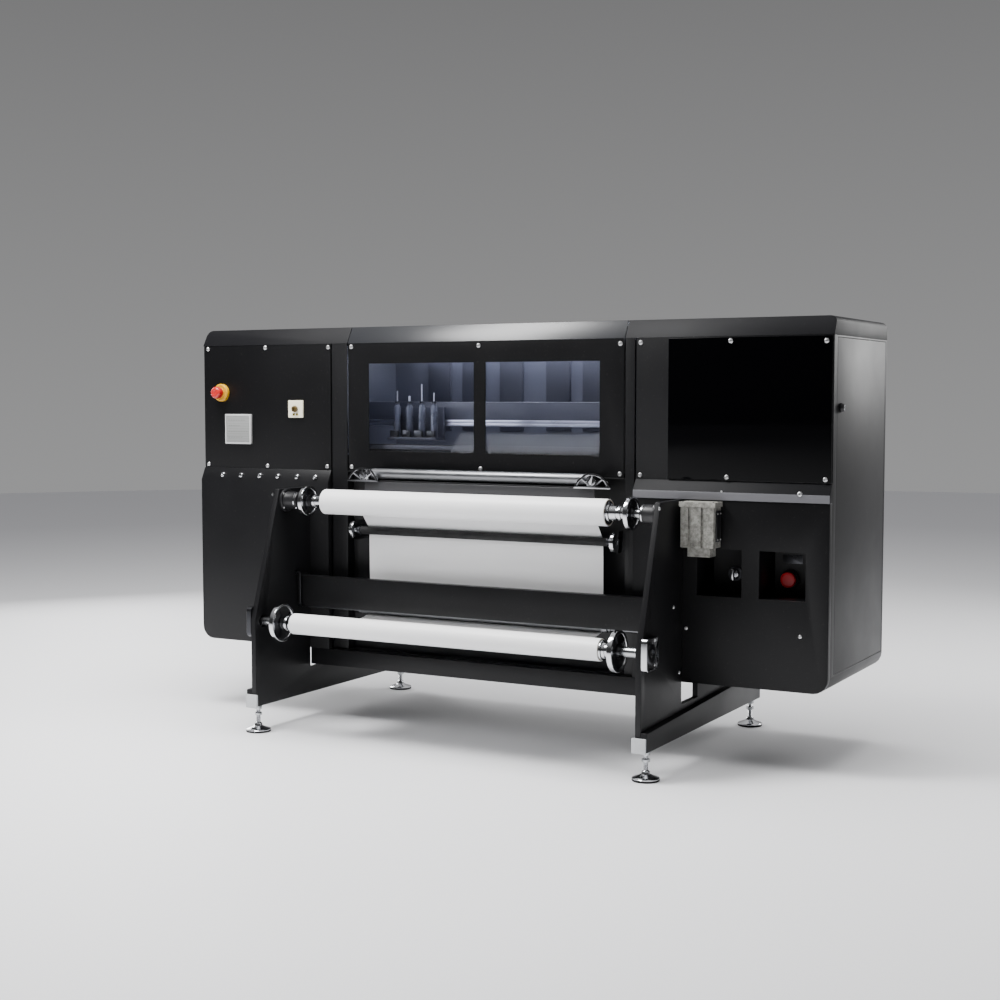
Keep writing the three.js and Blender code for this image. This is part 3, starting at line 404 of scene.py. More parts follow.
def blackAcrylic():
    # polished cast acrylic sheet, opaque black: deep gloss with a trace of wiping haze
    finish, tree, shader, place = newFinish("polishedBlackAcrylic")
    haze = addNode(tree, "ShaderNodeTexNoise", {"Vector": place, "Scale": 5, "Detail": 5, "Roughness": 0.7})
    spread = addNode(tree, "ShaderNodeMapRange", {"Value": haze, "From Min": 0.35, "From Max": 0.7,
                                                  "To Min": 0.03, "To Max": 0.10})
    setInputs(shader, {"Roughness": spread, "Base Color": hexColour("#020203"), "IOR": 1.2})
    return finish


def clearAcrylic():
    # clear acrylic window with a faint smoke tint; a thin sheet that barely bends light
    finish, tree, shader, place = newFinish("smokedClearAcrylic")
    haze = addNode(tree, "ShaderNodeTexNoise", {"Vector": place, "Scale": 7, "Detail": 5, "Roughness": 0.7})
    spread = addNode(tree, "ShaderNodeMapRange", {"Value": haze, "From Min": 0.35, "From Max": 0.7,
                                                  "To Min": 0.01, "To Max": 0.05})
    setInputs(shader, {"Roughness": spread, "Base Color": hexColour("#e2e4ec"), "Transmission Weight": 1.0,
                       "IOR": 1.2})
    return finish


def glowStrip(name, colour, strength):
    # LED strip behind a diffuser
    finish, tree, shader, place = newFinish(name)
    setInputs(shader, {"Base Color": hexColour("#e8ecf5"), "Emission Color": hexColour(colour),
                       "Emission Strength": strength})
    return finish


def readoutFace():
    # reflective liquid-crystal face: neutral grey, with the faint rows of its cells 9 mm apart
    finish, tree, shader, place = newFinish("lcdFace")
    rows = addNode(tree, "ShaderNodeTexWave", {"Vector": place, "Scale": 1 / 0.009 / math.pi, "Distortion": 0.0},
                   bands_direction="Z")
    tone = addNode(tree, "ShaderNodeMix", {0: rows.outputs["Fac"], 6: hexColour("#838483"),
                                           7: hexColour("#8b8c8b")}, data_type="RGBA")
    setInputs(shader, {"Base Color": tone.outputs[2], "Roughness": 0.35})
    return finish


mediaWhite = mediaFilm()
castGrey = castAlloy()
acrylicBlack = blackAcrylic()
acrylicClear = clearAcrylic()
ledGlow = glowStrip("coolLedDiffuser", "#e2e6f8", 42.0)
lcdFace = readoutFace()
print("finishes ready")


# sheet metal: the CAD plates with their edges rounded over

sheetPieces = {
    # node: (piece, finish, slot, edge radius in mm), and the body where it isn't the machine
    "leg_plate_right": ("legPlateRight", satinBlack, "dark_sheet", 1.5),
    "leg_plate_left": ("legPlateLeft", satinBlack, "dark_sheet", 1.5),
    "foot_beam_right": ("footBeamRight", satinBlack, "dark_sheet", 1.5),
    "foot_beam_left": ("footBeamLeft", satinBlack, "dark_sheet", 1.5),
    "beam_cap_right": ("beamCapRight", whitePlastic, "cap_white", 2.0),
    "beam_cap_left": ("beamCapLeft", whitePlastic, "cap_white", 2.0),
    "cross_beam": ("crossBeam", satinBlack, "dark_sheet", 1.5),
    "cross_member_low": ("lowCrossMember", satinBlack, "dark_sheet", 2.0),
    "cabinet_shell": ("cabinetShell", satinBlack, "dark_sheet", 0.8),
    "service_door": ("serviceDoorPanel", satinBlack, "dark_sheet", 0.8, "service_door"),
    "back_panel": ("backPanel", satinBlack, "dark_sheet", 0.8),
    "cover_left": ("topCoverLeft", coverBlack, "dark_sheet", 0.9),
    # the centre cover's lighter grey is partly painted sheen
    "cover_centre": ("topCoverCentre", coverGreyPaintedSheen, "grey_sheet", 0.9),
    "cover_right": ("topCoverRight", coverBlack, "dark_sheet", 0.9),
    "centre_frame": ("centreFrame", satinBlack, "dark_sheet", 0.8),
    "panel_upper_left": ("upperLeftPanel", deepBlack, "black_sheet", 0.9),
    "panel_upper_right": ("upperRightPanel", satinBlack, "dark_sheet", 0.9),
    "window_panel": ("windowPanel", deepBlack, "black_sheet", 0.9),
    "black_window": ("blackWindowSheet", acrylicBlack, "black_gloss", 0.8),
    "window_pane": ("clearWindowPane", acrylicClear, "clear_pane", 0.6),
    "panel_lower_left": ("lowerLeftPanel", satinBlack, "dark_sheet", 0.9),
    "panel_lower_right": ("lowerRightPanel", deepBlack, "dark_sheet", 0.9),
    "recess_box_left": ("recessBoxLeft", deepBlack, "black_sheet", 0.6),
    "recess_box_right": ("recessBoxRight", deepBlack, "black_sheet", 0.6),
    "idler_bracket_right": ("idlerBracketRight", chromePlate, "chrome", 1.2),
    "idler_bracket_left": ("idlerBracketLeft", chromePlate, "chrome", 1.2),
    "apron_bar": ("apronBar", apronGrey, "dark_sheet", 1.2),
    "print_bay": ("printBayLiner", bayGrey, "liner", 0.8),
    "platen": ("platenTable", tableGrey, "aluminium", 1.5),
}
for node, (title, finish, slotName, edge, *body) in sheetPieces.items():
    newPiece(title, softCopy(node, edge * mm), finish, slotName, [node], 32, *body)
print("sheet metal ready")


def ledgeStrip():
    # one folded strip: the upright band is grey, and the slope above it is black as painted shade where it lies in
    # shadow
    strip = softCopy("ledge_strip", 0.9 * mm)
    strip.materials.append(ledgeGrey)
    strip.materials.append(coverBlack)
    low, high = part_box("ledge_strip")
    for face in strip.polygons:
        # faces above the band take the black coat: painted shade on the slope
        face.material_index = 1 if face.center.z > low.z + 26.5 * mm else 0
    newPiece("ledgeStrip", strip, None, "ledge_grey", ["ledge_strip"])


ledgeStrip()


# screws and knobs: one head shape, set out on marked places by geometry nodes

def domedHead(look):
    # turned dome with a hexagon socket, radius 1, standing on z = 0
    bm = bmesh.new()
    sides = 24
    hexagon = lambda angle: math.cos(math.pi / 6) / math.cos((angle + math.pi / 6) % (math.pi / 3) - math.pi / 6)
    rings = [(1.0, -0.02, 0), (1.0, look["rim"], 0)]
    for i in range(1, 5):
        t = i / 5
        rise = look["dome"] * math.sin(t * math.pi / 2)
        rings.append((1.0 - t * (1 - look["socket"] - 0.08), look["rim"] + rise, 0))
    rings += [(look["socket"], look["rim"] + look["dome"], 1), (look["socket"] * 0.94, look["floor"], 1)]
    layers = []
    for radius, z, isHex in rings:
        angles = [2 * math.pi * i / sides for i in range(sides)]
        reach = [radius * (hexagon(angle) if isHex else 1.0) for angle in angles]
        layers.append([(r * math.cos(angle), r * math.sin(angle), z) for r, angle in zip(reach, angles)])
    addSkin(bm, layers, caps=True)
    return meshFrom(bm)


def headTree():
    # marked points in, screw heads out: each stands on its point and looks along its "facing"
    tree = bpy.data.node_groups.new("headsOnPoints", "GeometryNodeTree")
    sockets = tree.interface
    sockets.new_socket("Geometry", in_out="INPUT", socket_type="NodeSocketGeometry")
    headIn = sockets.new_socket("Head", in_out="INPUT", socket_type="NodeSocketObject")
    radiusIn = sockets.new_socket("Head radius", in_out="INPUT", socket_type="NodeSocketFloat")
    finishIn = sockets.new_socket("Finish", in_out="INPUT", socket_type="NodeSocketMaterial")
    sockets.new_socket("Geometry", in_out="OUTPUT", socket_type="NodeSocketGeometry")
    entry = addNode(tree, "NodeGroupInput")
    facing = addNode(tree, "GeometryNodeInputNamedAttribute", {"Name": "facing"}, data_type="FLOAT_VECTOR")
    chance = addNode(tree, "FunctionNodeRandomValue", {2: 0.0, 3: 6.28, "Seed": 7}, data_type="FLOAT")
    spin = addNode(tree, "FunctionNodeAxisAngleToRotation", {"Axis": (0, 0, 1), "Angle": chance.outputs[1]})
    aim = addNode(tree, "FunctionNodeAlignRotationToVector",
                  {"Rotation": spin, "Vector": facing.outputs["Attribute"]}, axis="Z")
    source = addNode(tree, "GeometryNodeObjectInfo", {"Object": entry.outputs["Head"]})
    placed = addNode(tree, "GeometryNodeInstanceOnPoints",
                     {"Points": entry.outputs["Geometry"], "Instance": source.outputs["Geometry"],
                      "Rotation": aim, "Scale": entry.outputs["Head radius"]})
    real = addNode(tree, "GeometryNodeRealizeInstances", {"Geometry": placed})
    painted = addNode(tree, "GeometryNodeSetMaterial", {"Geometry": real,
                                                        "Material": entry.outputs["Finish"]})
    addNode(tree, "NodeGroupOutput", {"Geometry": painted})
    return tree, headIn.identifier, radiusIn.identifier, finishIn.identifier


headGroup, headSocket, radiusSocket, finishSocket = headTree()
screwLook = {"rim": 0.16, "dome": 0.42, "socket": 0.42, "floor": 0.2}


def setHeads(name, spots, radius, look=screwLook, finish=paleZinc, slotName="chrome"):
    # spots are (place, facing) pairs in metres
    holder = bpy.data.objects.new("headShape", domedHead(look))
    bpy.context.scene.collection.objects.link(holder)
    marks = bpy.data.meshes.new(name)
    marks.from_pydata([place for place, facing in spots], [], [])
    facings = marks.attributes.new("facing", "FLOAT_VECTOR", "POINT")
    for i, (place, facing) in enumerate(spots):
        facings.data[i].vector = facing
    carrier = bpy.data.objects.new(name, marks)
    bpy.context.scene.collection.objects.link(carrier)
    modifier = carrier.modifiers.new("heads", "NODES")
    modifier.node_group = headGroup
    modifier[headSocket] = holder
    modifier[radiusSocket] = radius
    modifier[finishSocket] = finish
    bpy.context.view_layer.update()
    evaluated = carrier.evaluated_get(bpy.context.evaluated_depsgraph_get())
    mesh = bpy.data.meshes.new_from_object(evaluated)
    bpy.data.objects.remove(carrier)
    bpy.data.objects.remove(holder)
    mesh.materials.clear()
    newPiece(name, mesh, finish, slotName)


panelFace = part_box("window_panel")[0].y
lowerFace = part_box("panel_lower_right")[0].y
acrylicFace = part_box("black_window")[0].y
toFront, toRight = (0, -1, 0), (1, 0, 0)
panelRows = {
    # screw places on the upper panels, in mm across and up
    "left": [(-1137, 1276), (-884, 1277), (-618, 1275), (-1139, 867), (-878, 866), (-625, 869)],
    "window": [(-523, 1275), (-29, 1272), (472, 1270), (-524, 870), (-22, 874), (472, 869)],
    "right": [(540, 1272), (540, 868)],
    "acrylic": [(831, 1272), (1122, 1268), (822, 868), (1123, 868)],
}
screwSpots = [((x * mm, panelFace, z * mm), toFront) for row in ("left", "window", "right") for x, z in panelRows[row]]
screwSpots += [((x * mm, acrylicFace, z * mm), toFront) for x, z in panelRows["acrylic"]]
setHeads("panelScrews", screwSpots, 7.5 * mm)
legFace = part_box("leg_plate_right")[1].x
legSpots = [((legFace, y * mm, z * mm), toRight) for y, z in ((-353, 392), (-183, 276), (-231, 480), (-344, 782))]
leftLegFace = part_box("leg_plate_left")[0].x
legSpots += [((leftLegFace, y, z), (-1, 0, 0)) for (x, y, z), facing in legSpots[:4]]
legSpots += [((1059 * mm, lowerFace, 409 * mm), toFront), ((703 * mm, lowerFace, 409 * mm), toFront)]
setHeads("frameScrews", legSpots, 5.5 * mm)
print("screws ready")


# levelling feet

footLook = {"padRadius": 41, "padHeight": 13, "stemRadius": 7, "threadPitch": 2.4, "nutWidth": 22, "nutHeight": 13}


def levellingFoot(name, node):
    low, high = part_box(node)
    centre = ((low.x + high.x) / 2, (low.y + high.y) / 2, 0.0)
    pad, stem = footLook["padRadius"], footLook["stemRadius"]
    top = high.z / mm
    # black rubber ring under a dished steel pad
    sole = [(0, 0), (0, pad - 1), (1, pad), (4.5, pad), (5, pad - 1.5), (5, 0)]
    rubber = newPiece(name + "Sole", turnedMesh("z", centre, sole, 56), blackRubber,
                      "rubber_black")
    dome = [(5.1, 0), (5.1, pad - 1.5), (6.5, pad), (8, pad), (10, pad - 2), (13, pad * 0.74), (17, pad * 0.46),
            (20, pad * 0.34), (23, stem + 6), (27, stem + 5), (30, stem + 1.5)]
    z = 30
    pitch = footLook["threadPitch"]
    while z < top - footLook["nutHeight"] - pitch:
        dome += [(z + 0.2 * pitch, stem), (z + 0.7 * pitch, stem - 0.9)]
        z += pitch
    dome += [(top - footLook["nutHeight"], stem), (top - footLook["nutHeight"], 0)]
    shape = turnedMesh("z", centre, dome, 56)
    newPiece(name + "Pad", shape, chromePlate, "chrome", [node], 40)
    # the jam nuts: one under the beam, one lower down the stem
    bm = bmesh.new()
    across = footLook["nutWidth"] / 2 / math.cos(math.pi / 6) * mm
    for base, tall in ((top - footLook["nutHeight"] + 0.2, footLook["nutHeight"] - 0.4), (top - 33, 9)):
        corners = [(centre[0] + across * math.cos(math.pi / 3 * i + 0.3),
                    centre[1] + across * math.sin(math.pi / 3 * i + 0.3)) for i in range(6)]
        addPrism(bm, "z", corners, base * mm, (base + tall) * mm, 0.8 * mm)
    newPiece(name + "Nuts", meshFrom(bm), turnedSteel, "steel")


for node, title in (("foot_front_right", "frontRightFoot"), ("foot_front_left", "frontLeftFoot"),
                    ("foot_rear_right", "rearRightFoot"), ("foot_rear_left", "rearLeftFoot")):
    levellingFoot(title, node)
print("feet ready")


# controls on the upper left panel

def centreOf(node):
    low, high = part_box(node)
    return (low + high) / 2, low, high


stopLook = {"collarBore": 14.4, "waist": 14}


def stopControl():
    middle, low, high = centreOf("stop_collar")
    radius = (high.x - low.x) / 2 / mm
    depth = (high.y - low.y) / mm
    bore = stopLook["collarBore"]
    profile = [(0, bore), (0, radius), (-depth + 4, radius), (-depth + 1, radius - 2), (-depth, radius - 5),
               (-depth + 1.2, radius - 7), (-depth + 1.2, bore + 3), (-depth, bore + 2), (-depth, bore), (0, bore)]
    ringShape = turnedMesh("y", (middle.x, high.y, middle.z), profile, 56, True)
    newPiece("stopCollar", ringShape, yellowPlastic, "yellow", ["stop_collar"], 28)
    middle, low, high = centreOf("stop_button")
    head = (high.x - low.x) / 2 / mm
    depth = (high.y - low.y) / mm
    stem = stopLook["waist"]
    neck = depth - 26
    profile = [(0, 0), (0, stem), (-neck, stem), (-neck - 1, stem + 3), (-neck - 3, head - 1.5), (-neck - 5, head)]
    for i in range(9):
        t = i / 8 * math.pi / 2
        profile.append((-neck - 16 - 10 * math.sin(t), head - 9 * (1 - math.cos(t)) - 0.5 * t))
    profile += [(-depth, head - 12), (-depth + 1.2, head - 14), (-depth + 1.4, 4), (-depth + 1.0, 0)]
    shape = turnedMesh("y", (middle.x, high.y, middle.z), profile, 56)
    newPiece("stopMushroomHead", shape, redPlastic, "red", ["stop_button"], 28, body="stop_head")


def readout():
    middle, low, high = centreOf("display")
    rim = 6 * mm
    bm = bmesh.new()
    outline = roundedRect(high.x - low.x, high.z - low.z, 3 * mm, 4, (middle.x, middle.z))
    inner = roundedRect(high.x - low.x - 2 * rim, high.z - low.z - 2 * rim, 1 * mm, 4, (middle.x, middle.z))
    back, front, sunk = high.y, low.y, low.y + 2.2 * mm
    lip = roundedRect(high.x - low.x - 3 * mm, high.z - low.z - 3 * mm, 2 * mm, 4, (middle.x, middle.z))
    rings = ((outline, back), (outline, front + 1.5 * mm), (lip, front), (inner, front), (inner, sunk))
    addSkin(bm, [[(x, y, z) for x, z in points] for points, y in rings], caps=True)
    newPiece("readoutBezel", meshFrom(bm), readoutFrame, "screen_grey", ["display"], 30)
    glass = blockMesh([((low.x + rim + 1 * mm, sunk - 1.2 * mm, low.z + rim + 1 * mm),
                        (high.x - rim - 1 * mm, sunk - 0.1 * mm, high.z - rim - 1 * mm))], 0.4 * mm)
    newPiece("readoutFace", glass, lcdFace, "screen_grey")
    # segments of the readout: short bars in rows, no figures
    bars = []
    for row, count in enumerate((7, 5, 8, 6)):
        z = high.z - rim - (15 + row * 20) * mm
        for i in range(count):
            x = low.x + rim + (9 + i * 11) * mm
            bars.append(((x, sunk - 1.45 * mm, z - 1.2 * mm), (x + 7 * mm, sunk - 1.3 * mm, z + 1.2 * mm)))
    newPiece("readoutBars", blockMesh(bars, 0), barGrey, "screen_grey")


def keyControl():
    middle, low, high = centreOf("key_plate")
    outline = roundedRect(high.x - low.x, high.z - low.z, 4 * mm, 5, (middle.x, middle.z))
    newPiece("keyPlate", prismMesh("y", outline, low.y, high.y, 1.2 * mm), creamPlastic, "cream", ["key_plate"])
    marks = bmesh.new()
    for dx in (-7, 7):
        addBlock(marks, (middle.x + (dx - 4) * mm, low.y - 1.2 * mm, low.z + 7 * mm),
                 (middle.x + (dx + 4) * mm, low.y + 0.5 * mm, low.z + 15 * mm), 1 * mm)
    newPiece("keyPositionMarks", meshFrom(marks), brassYellow, "cream")
    middle, low, high = centreOf("key_switch")
    depth = (high.y - low.y) / mm
    profile = [(0, 0), (0, 10), (-1, 11), (-7.5, 11), (-9.5, 9.5), (-10, 8), (-9, 7), (-9, 0)]
    barrel = turnedMesh("y", (middle.x, high.y, middle.z), profile, 40)
    bm = bmesh.new()
    bm.from_mesh(barrel)
    # bow of the key, a flat oval plate standing out of the lock
    bow = [(low.y + 0.2 * mm + 5.8 * mm - 5.8 * mm * math.cos(a), middle.z + 8.6 * mm * math.sin(a))
           for a in [2 * math.pi * i / 20 for i in range(20)]]
    addPrism(bm, "x", bow, middle.x - 1.2 * mm, middle.x + 1.2 * mm, 0.4 * mm)
    addBlock(bm, (middle.x - 1.2 * mm, low.y + 9 * mm, middle.z - 3.5 * mm),
             (middle.x + 1.2 * mm, high.y - 8 * mm, middle.z + 3.5 * mm), 0.3 * mm)
    newPiece("keyAndLock", meshFrom(bm), brownPlastic, "black_plastic", ["key_switch"], body="key_knob")


readoutFrame = mouldedPlastic("paleGreyBezelPlastic", {"deep": "#b2b2b2", "light": "#c6c6c6", "rough": 0.35})
barGrey = mouldedPlastic("lcdSegmentGrey", {"deep": "#6c6d6c", "light": "#767776", "rough": 0.4})
brassYellow = metalFinish("yellowBrass", {"deep": "#b6a23e", "light": "#d8c465", "rough": 0.3})
stopControl()
readout()
keyControl()


# recess fittings

def recessFittings():
    middle, low, high = centreOf("turn_key")
    profile = roundedProfile([(0, 0), (0, 13.5), (-8, 13.5), (-10, 11.5), (-10, 0)], 1.2)
    bm = bmesh.new()
    disc = turnedMesh("y", (middle.x, high.y, middle.z), profile, 48)
    bm.from_mesh(disc)
    outline = [(middle.x + x * mm, middle.z + z * mm) for x, z in
               ((-3.6, -18), (3.6, -18), (5, -14), (4, 0), (5, 14),
                (3.6, 18), (-3.6, 18), (-5, 14), (-4, 0), (-5, -14))]
    addPrism(bm, "y", outline, low.y, high.y - 9 * mm, 1.1 * mm)
    newPiece("turnKey", meshFrom(bm), chromePlate, "chrome", ["turn_key"], body="recess_key")
    # escutcheon round the turn key, on the recess wall
    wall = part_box("recess_box_left")[1].y - 2 * mm
    plate = [(0, 15), (0, 23), (-1.6, 23), (-2.4, 22), (-2.4, 15)]
    newPiece("turnKeyPlate", turnedMesh("y", (middle.x, wall, middle.z), plate, 48, True),
             darkSteel, "steel")
    middle, low, high = centreOf("recess_button_base")
    depth, radius = (high.y - low.y) / mm, (high.x - low.x) / 2 / mm
    collar = [(0, 12.4), (0, radius), (-depth + 2, radius), (-depth, radius - 2), (-depth, 12.4)]
    newPiece("recessButtonCollar",
             turnedMesh("y", (middle.x, high.y, middle.z), collar, 56, True),
             blackPlastic, "black_plastic", ["recess_button_base"])
    middle, low, high = centreOf("recess_button")
    depth, radius = (high.y - low.y) / mm, (high.x - low.x) / 2 / mm
    head = [(0, 0), (0, 12), (-depth + 14, 12), (-depth + 13, radius - 1), (-depth + 11, radius), (-depth + 5, radius),
            (-depth + 2, radius - 1.6), (-depth + 0.4, radius - 5), (-depth, radius - 9), (-depth, 0)]
    newPiece("recessStopHead", turnedMesh("y", (middle.x, high.y, middle.z), head, 56),
             dullRedPlastic, "red", ["recess_button"], 30, body="recess_stop_head")
    # plain plate above the red button
    boxLow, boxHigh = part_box("recess_box_right")
    plateWall = boxHigh.y - 2 * mm
    plain = roundedRect(62 * mm, 26 * mm, 3 * mm, 4, (boxLow.x + 58 * mm, boxLow.z + 110 * mm))
    newPiece("recessLabelPlate", prismMesh("y", plain, plateWall - 1.6 * mm, plateWall, 0.5 * mm), darkSteel, "steel")


recessFittings()
print("controls ready")


# rolls, chucks and hand wheels

def woundEdge(name, axisY, axisZ):
    # edge of a wound roll: layers of film 0.2 mm apart, drawn 1.3 mm apart round the roll's own axis
    finish, tree, shader, place = newFinish(name)
    centred = addNode(tree, "ShaderNodeMapping", {"Vector": place, "Location": (0, -axisY, -axisZ)})
    rings = addNode(tree, "ShaderNodeTexWave", {"Vector": centred, "Scale": 1 / 0.0013 / math.pi,
                                                "Distortion": 1.5}, wave_type="RINGS", rings_direction="X")
    tone = addNode(tree, "ShaderNodeMix", {0: rings.outputs["Fac"], 6: hexColour("#c9c9ca"),
                                           7: hexColour("#ededed")}, data_type="RGBA")
    bump = addNode(tree, "ShaderNodeBump", {"Height": rings.outputs["Fac"], "Strength": 0.3, "Distance": 0.0004})
    setInputs(shader, {"Base Color": tone.outputs[2], "Normal": bump, "Roughness": 0.6})
    return finish


cardCore = mouldedPlastic("greyCardCore", {"deep": "#8a7c66", "light": "#a39479", "rough": 0.8, "bump": 0.3})


def mediaRoll(name, node, body, edgeFinish):
    low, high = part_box(node)
    middle = (low + high) / 2
    radius = (high.z - low.z) / 2 / mm
    half = (high.x - low.x) / 2 / mm
    coreOuter, bore = radius - 2.2, radius - 4
    steps = 24
    layers = [(-half + 0.6, coreOuter), (-half, radius - 0.9), (-half + 0.5, radius)]
    layers += [(-half + 3 + (2 * half - 6) * i / steps, radius) for i in range(steps + 1)]
    layers += [(half - 0.5, radius), (half, radius - 0.9), (half - 0.6, coreOuter)]
    bm = bmesh.new()
    turnedShape(bm, "x", middle, layers + [layers[0]], 96)
    closedUp(bm, 1e-6)
    mesh = meshFrom(bm)
    for finish in (mediaWhite, edgeFinish):
        mesh.materials.append(finish)
    for face in mesh.polygons:
        if abs(face.center.x - middle.x) > (half - 0.62) * mm:
            face.material_index = 1
    newPiece(name, mesh, None, "core_card", [node], 50, body=body)
    core = [(-half, bore), (-half, coreOuter - 0.1), (half, coreOuter - 0.1), (half, bore)]
    newPiece(name + "Core", turnedMesh("x", middle, core, 72, True), cardCore, "core_card", body=body)


def rollShaft(name, node, body, look):
    low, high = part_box(node)
    centre = Vector((-7 * mm, (low.y + high.y) / 2, (low.z + high.z) / 2))
    tubeEnd, disc, thick = look["tubeEnd"], look["discAt"], look["discThickness"]
    shaft, hub, end = 15.0, look["hub"], look["end"]
    neck = (tubeEnd + disc) / 2
    chuckStart = tubeEnd - 88
    right = [(chuckStart, look["chuck"]), (tubeEnd - 1, look["chuck"]),
             (tubeEnd + 1, look["chuck"] - 1.5), (tubeEnd + 1, hub + 5), (tubeEnd + 7, hub + 5), (tubeEnd + 8, hub),
             (neck - 8, hub), (neck - 6.5, hub - 3.5), (neck - 3, hub - 3.5), (neck - 1.5, hub),
             (neck + 8, hub), (neck + 9, hub - 3), (disc - thick / 2, hub - 3), (disc - thick / 2, shaft)]
    right = roundedProfile(right, 0.8, 2)
    for side, tag in ((1, "Right"), (-1, "Left")):
        profile = [(chuckStart, 0)] + right + [(disc - thick / 2, 0)]
        newPiece(name + "Chuck" + tag, turnedMesh("x", centre, profile, 64, side=side), chromePlate, "chrome",
                 body=body)
        wheel = handWheel(centre, side, disc, thick, look["discRadius"], shaft)
        for part, (mesh, finish, slotName) in wheel.items():
            newPiece(name + part + tag, mesh, finish, slotName, body=body)
    bar = [(-end, 0), (-end, shaft - 1.5), (-end + 1.5, shaft), (end - 1.5, shaft), (end, shaft - 1.5), (end, 0)]
    newPiece(name + "Bar", turnedMesh("x", centre, bar, 48), turnedSteel, "chrome", [node], body=body)


def handWheel(centre, side, at, thick, radius, shaft):
    # bright rim, dark dished web, five slim spokes and a hub
    t = thick / 2
    rim = roundedProfile([(-t, radius - 9), (-t, radius - 1), (-t + 1.5, radius), (t - 1.5, radius), (t, radius - 1),
                          (t, radius - 9), (t - 3, radius - 10.5), (-t + 3, radius - 10.5), (-t, radius - 9)], 0.8, 2)
    rimMesh = turnedMesh("x", centre, [(at * side + a, r) for a, r in rim[:-1]], 72, True)
    web = [(-1.5, shaft), (-1.5, radius - 10.4), (1.5, radius - 10.4), (1.5, shaft)]
    webMesh = turnedMesh("x", centre, [(at * side + a, r) for a, r in web], 64, True)
    bm = bmesh.new()
    hub = [(-t - 1, shaft), (-t - 1, shaft + 5), (-t + 1, shaft + 7), (t - 1, shaft + 7), (t + 1, shaft + 5),
           (t + 1, shaft)]
    hubMesh = turnedMesh("x", centre, [(at * side + a, r) for a, r in hub], 48, True)
    bm.from_mesh(hubMesh)
    for i in range(5):
        turn = Matrix.Rotation(2 * math.pi * i / 5 + 0.3, 4, "X")
        x = centre.x + at * side * mm
        addBlock(bm, (x - (t - 3.5) * mm, centre.y - 3 * mm, centre.z + (shaft + 5) * mm),
                 (x + (t - 3.5) * mm, centre.y + 3 * mm, centre.z + (radius - 9.5) * mm), 1.6 * mm, 2, turn,
                 Vector((x, centre.y, centre.z)))
    return {"WheelRim": (rimMesh, chromePlate, "chrome"), "WheelWeb": (webMesh, blackPlastic, "black_plastic"),
            "WheelSpokes": (meshFrom(bm), darkSteel, "steel")}


rollLooks = {
    "supply": {"tubeEnd": 515, "discAt": 588, "discThickness": 14, "discRadius": 51, "hub": 23, "chuck": 36.4,
               "end": 677},
    "takeup": {"tubeEnd": 553, "discAt": 603, "discThickness": 16, "discRadius": 62, "hub": 25, "chuck": 29,
               "end": 711},
}
supplyMiddle, takeupMiddle = centreOf("supply_tube")[0], centreOf("takeup_tube")[0]
mediaRoll("supplyMediaRoll", "supply_tube", "supply_roll", woundEdge("supplyRollEdge", supplyMiddle.y, supplyMiddle.z))
mediaRoll("takeupMediaRoll", "takeup_tube", "takeup_roll", woundEdge("takeupRollEdge", takeupMiddle.y, takeupMiddle.z))
rollShaft("supply", "supply_shaft", "supply_roll", rollLooks["supply"])
rollShaft("takeup", "takeup_shaft", "takeup_roll", rollLooks["takeup"])
print("rolls ready")


# bearings and housings

def supplyBearings():
    for side, tag, node in ((1, "Right", "supply_bearing_right"), (-1, "Left", "supply_bearing_left")):
        low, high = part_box(node)
        middle = (low + high) / 2
        plateFace = high.x if side > 0 else low.x
        length = (high.x - low.x) / mm
        profile = [(0, 15.1), (0, 38), (-7, 38), (-9, 36), (-9, 30), (-12, 29), (-length + 12, 29), (-length + 10, 27),
                   (-length + 5, 27), (-length + 1, 25), (-length, 23), (-length, 15.1)]
        shape = turnedMesh("x", (plateFace, middle.y, middle.z), profile, 64, True, side)
        newPiece("supplyBearing" + tag, shape, blackPlastic, "black_plastic", [node], 30)
        band = [(-length + 5.5, 27.05), (-length + 9.5, 27.05), (-length + 9.5, 28.6), (-length + 5.5, 28.6)]
        newPiece("supplyBearingBand" + tag, turnedMesh("x", (plateFace, middle.y, middle.z), band, 64, True, side),
                 chromePlate, "chrome")
        spots = []
        for i in range(4):
            angle = math.pi / 4 + i * math.pi / 2
            spots.append(((plateFace - 9 * side * mm, middle.y + 33.4 * mm * math.cos(angle),
                           middle.z + 33.4 * mm * math.sin(angle)), (-side, 0, 0)))
        setHeads("supplyBearingBolts" + tag, spots, 3.6 * mm)


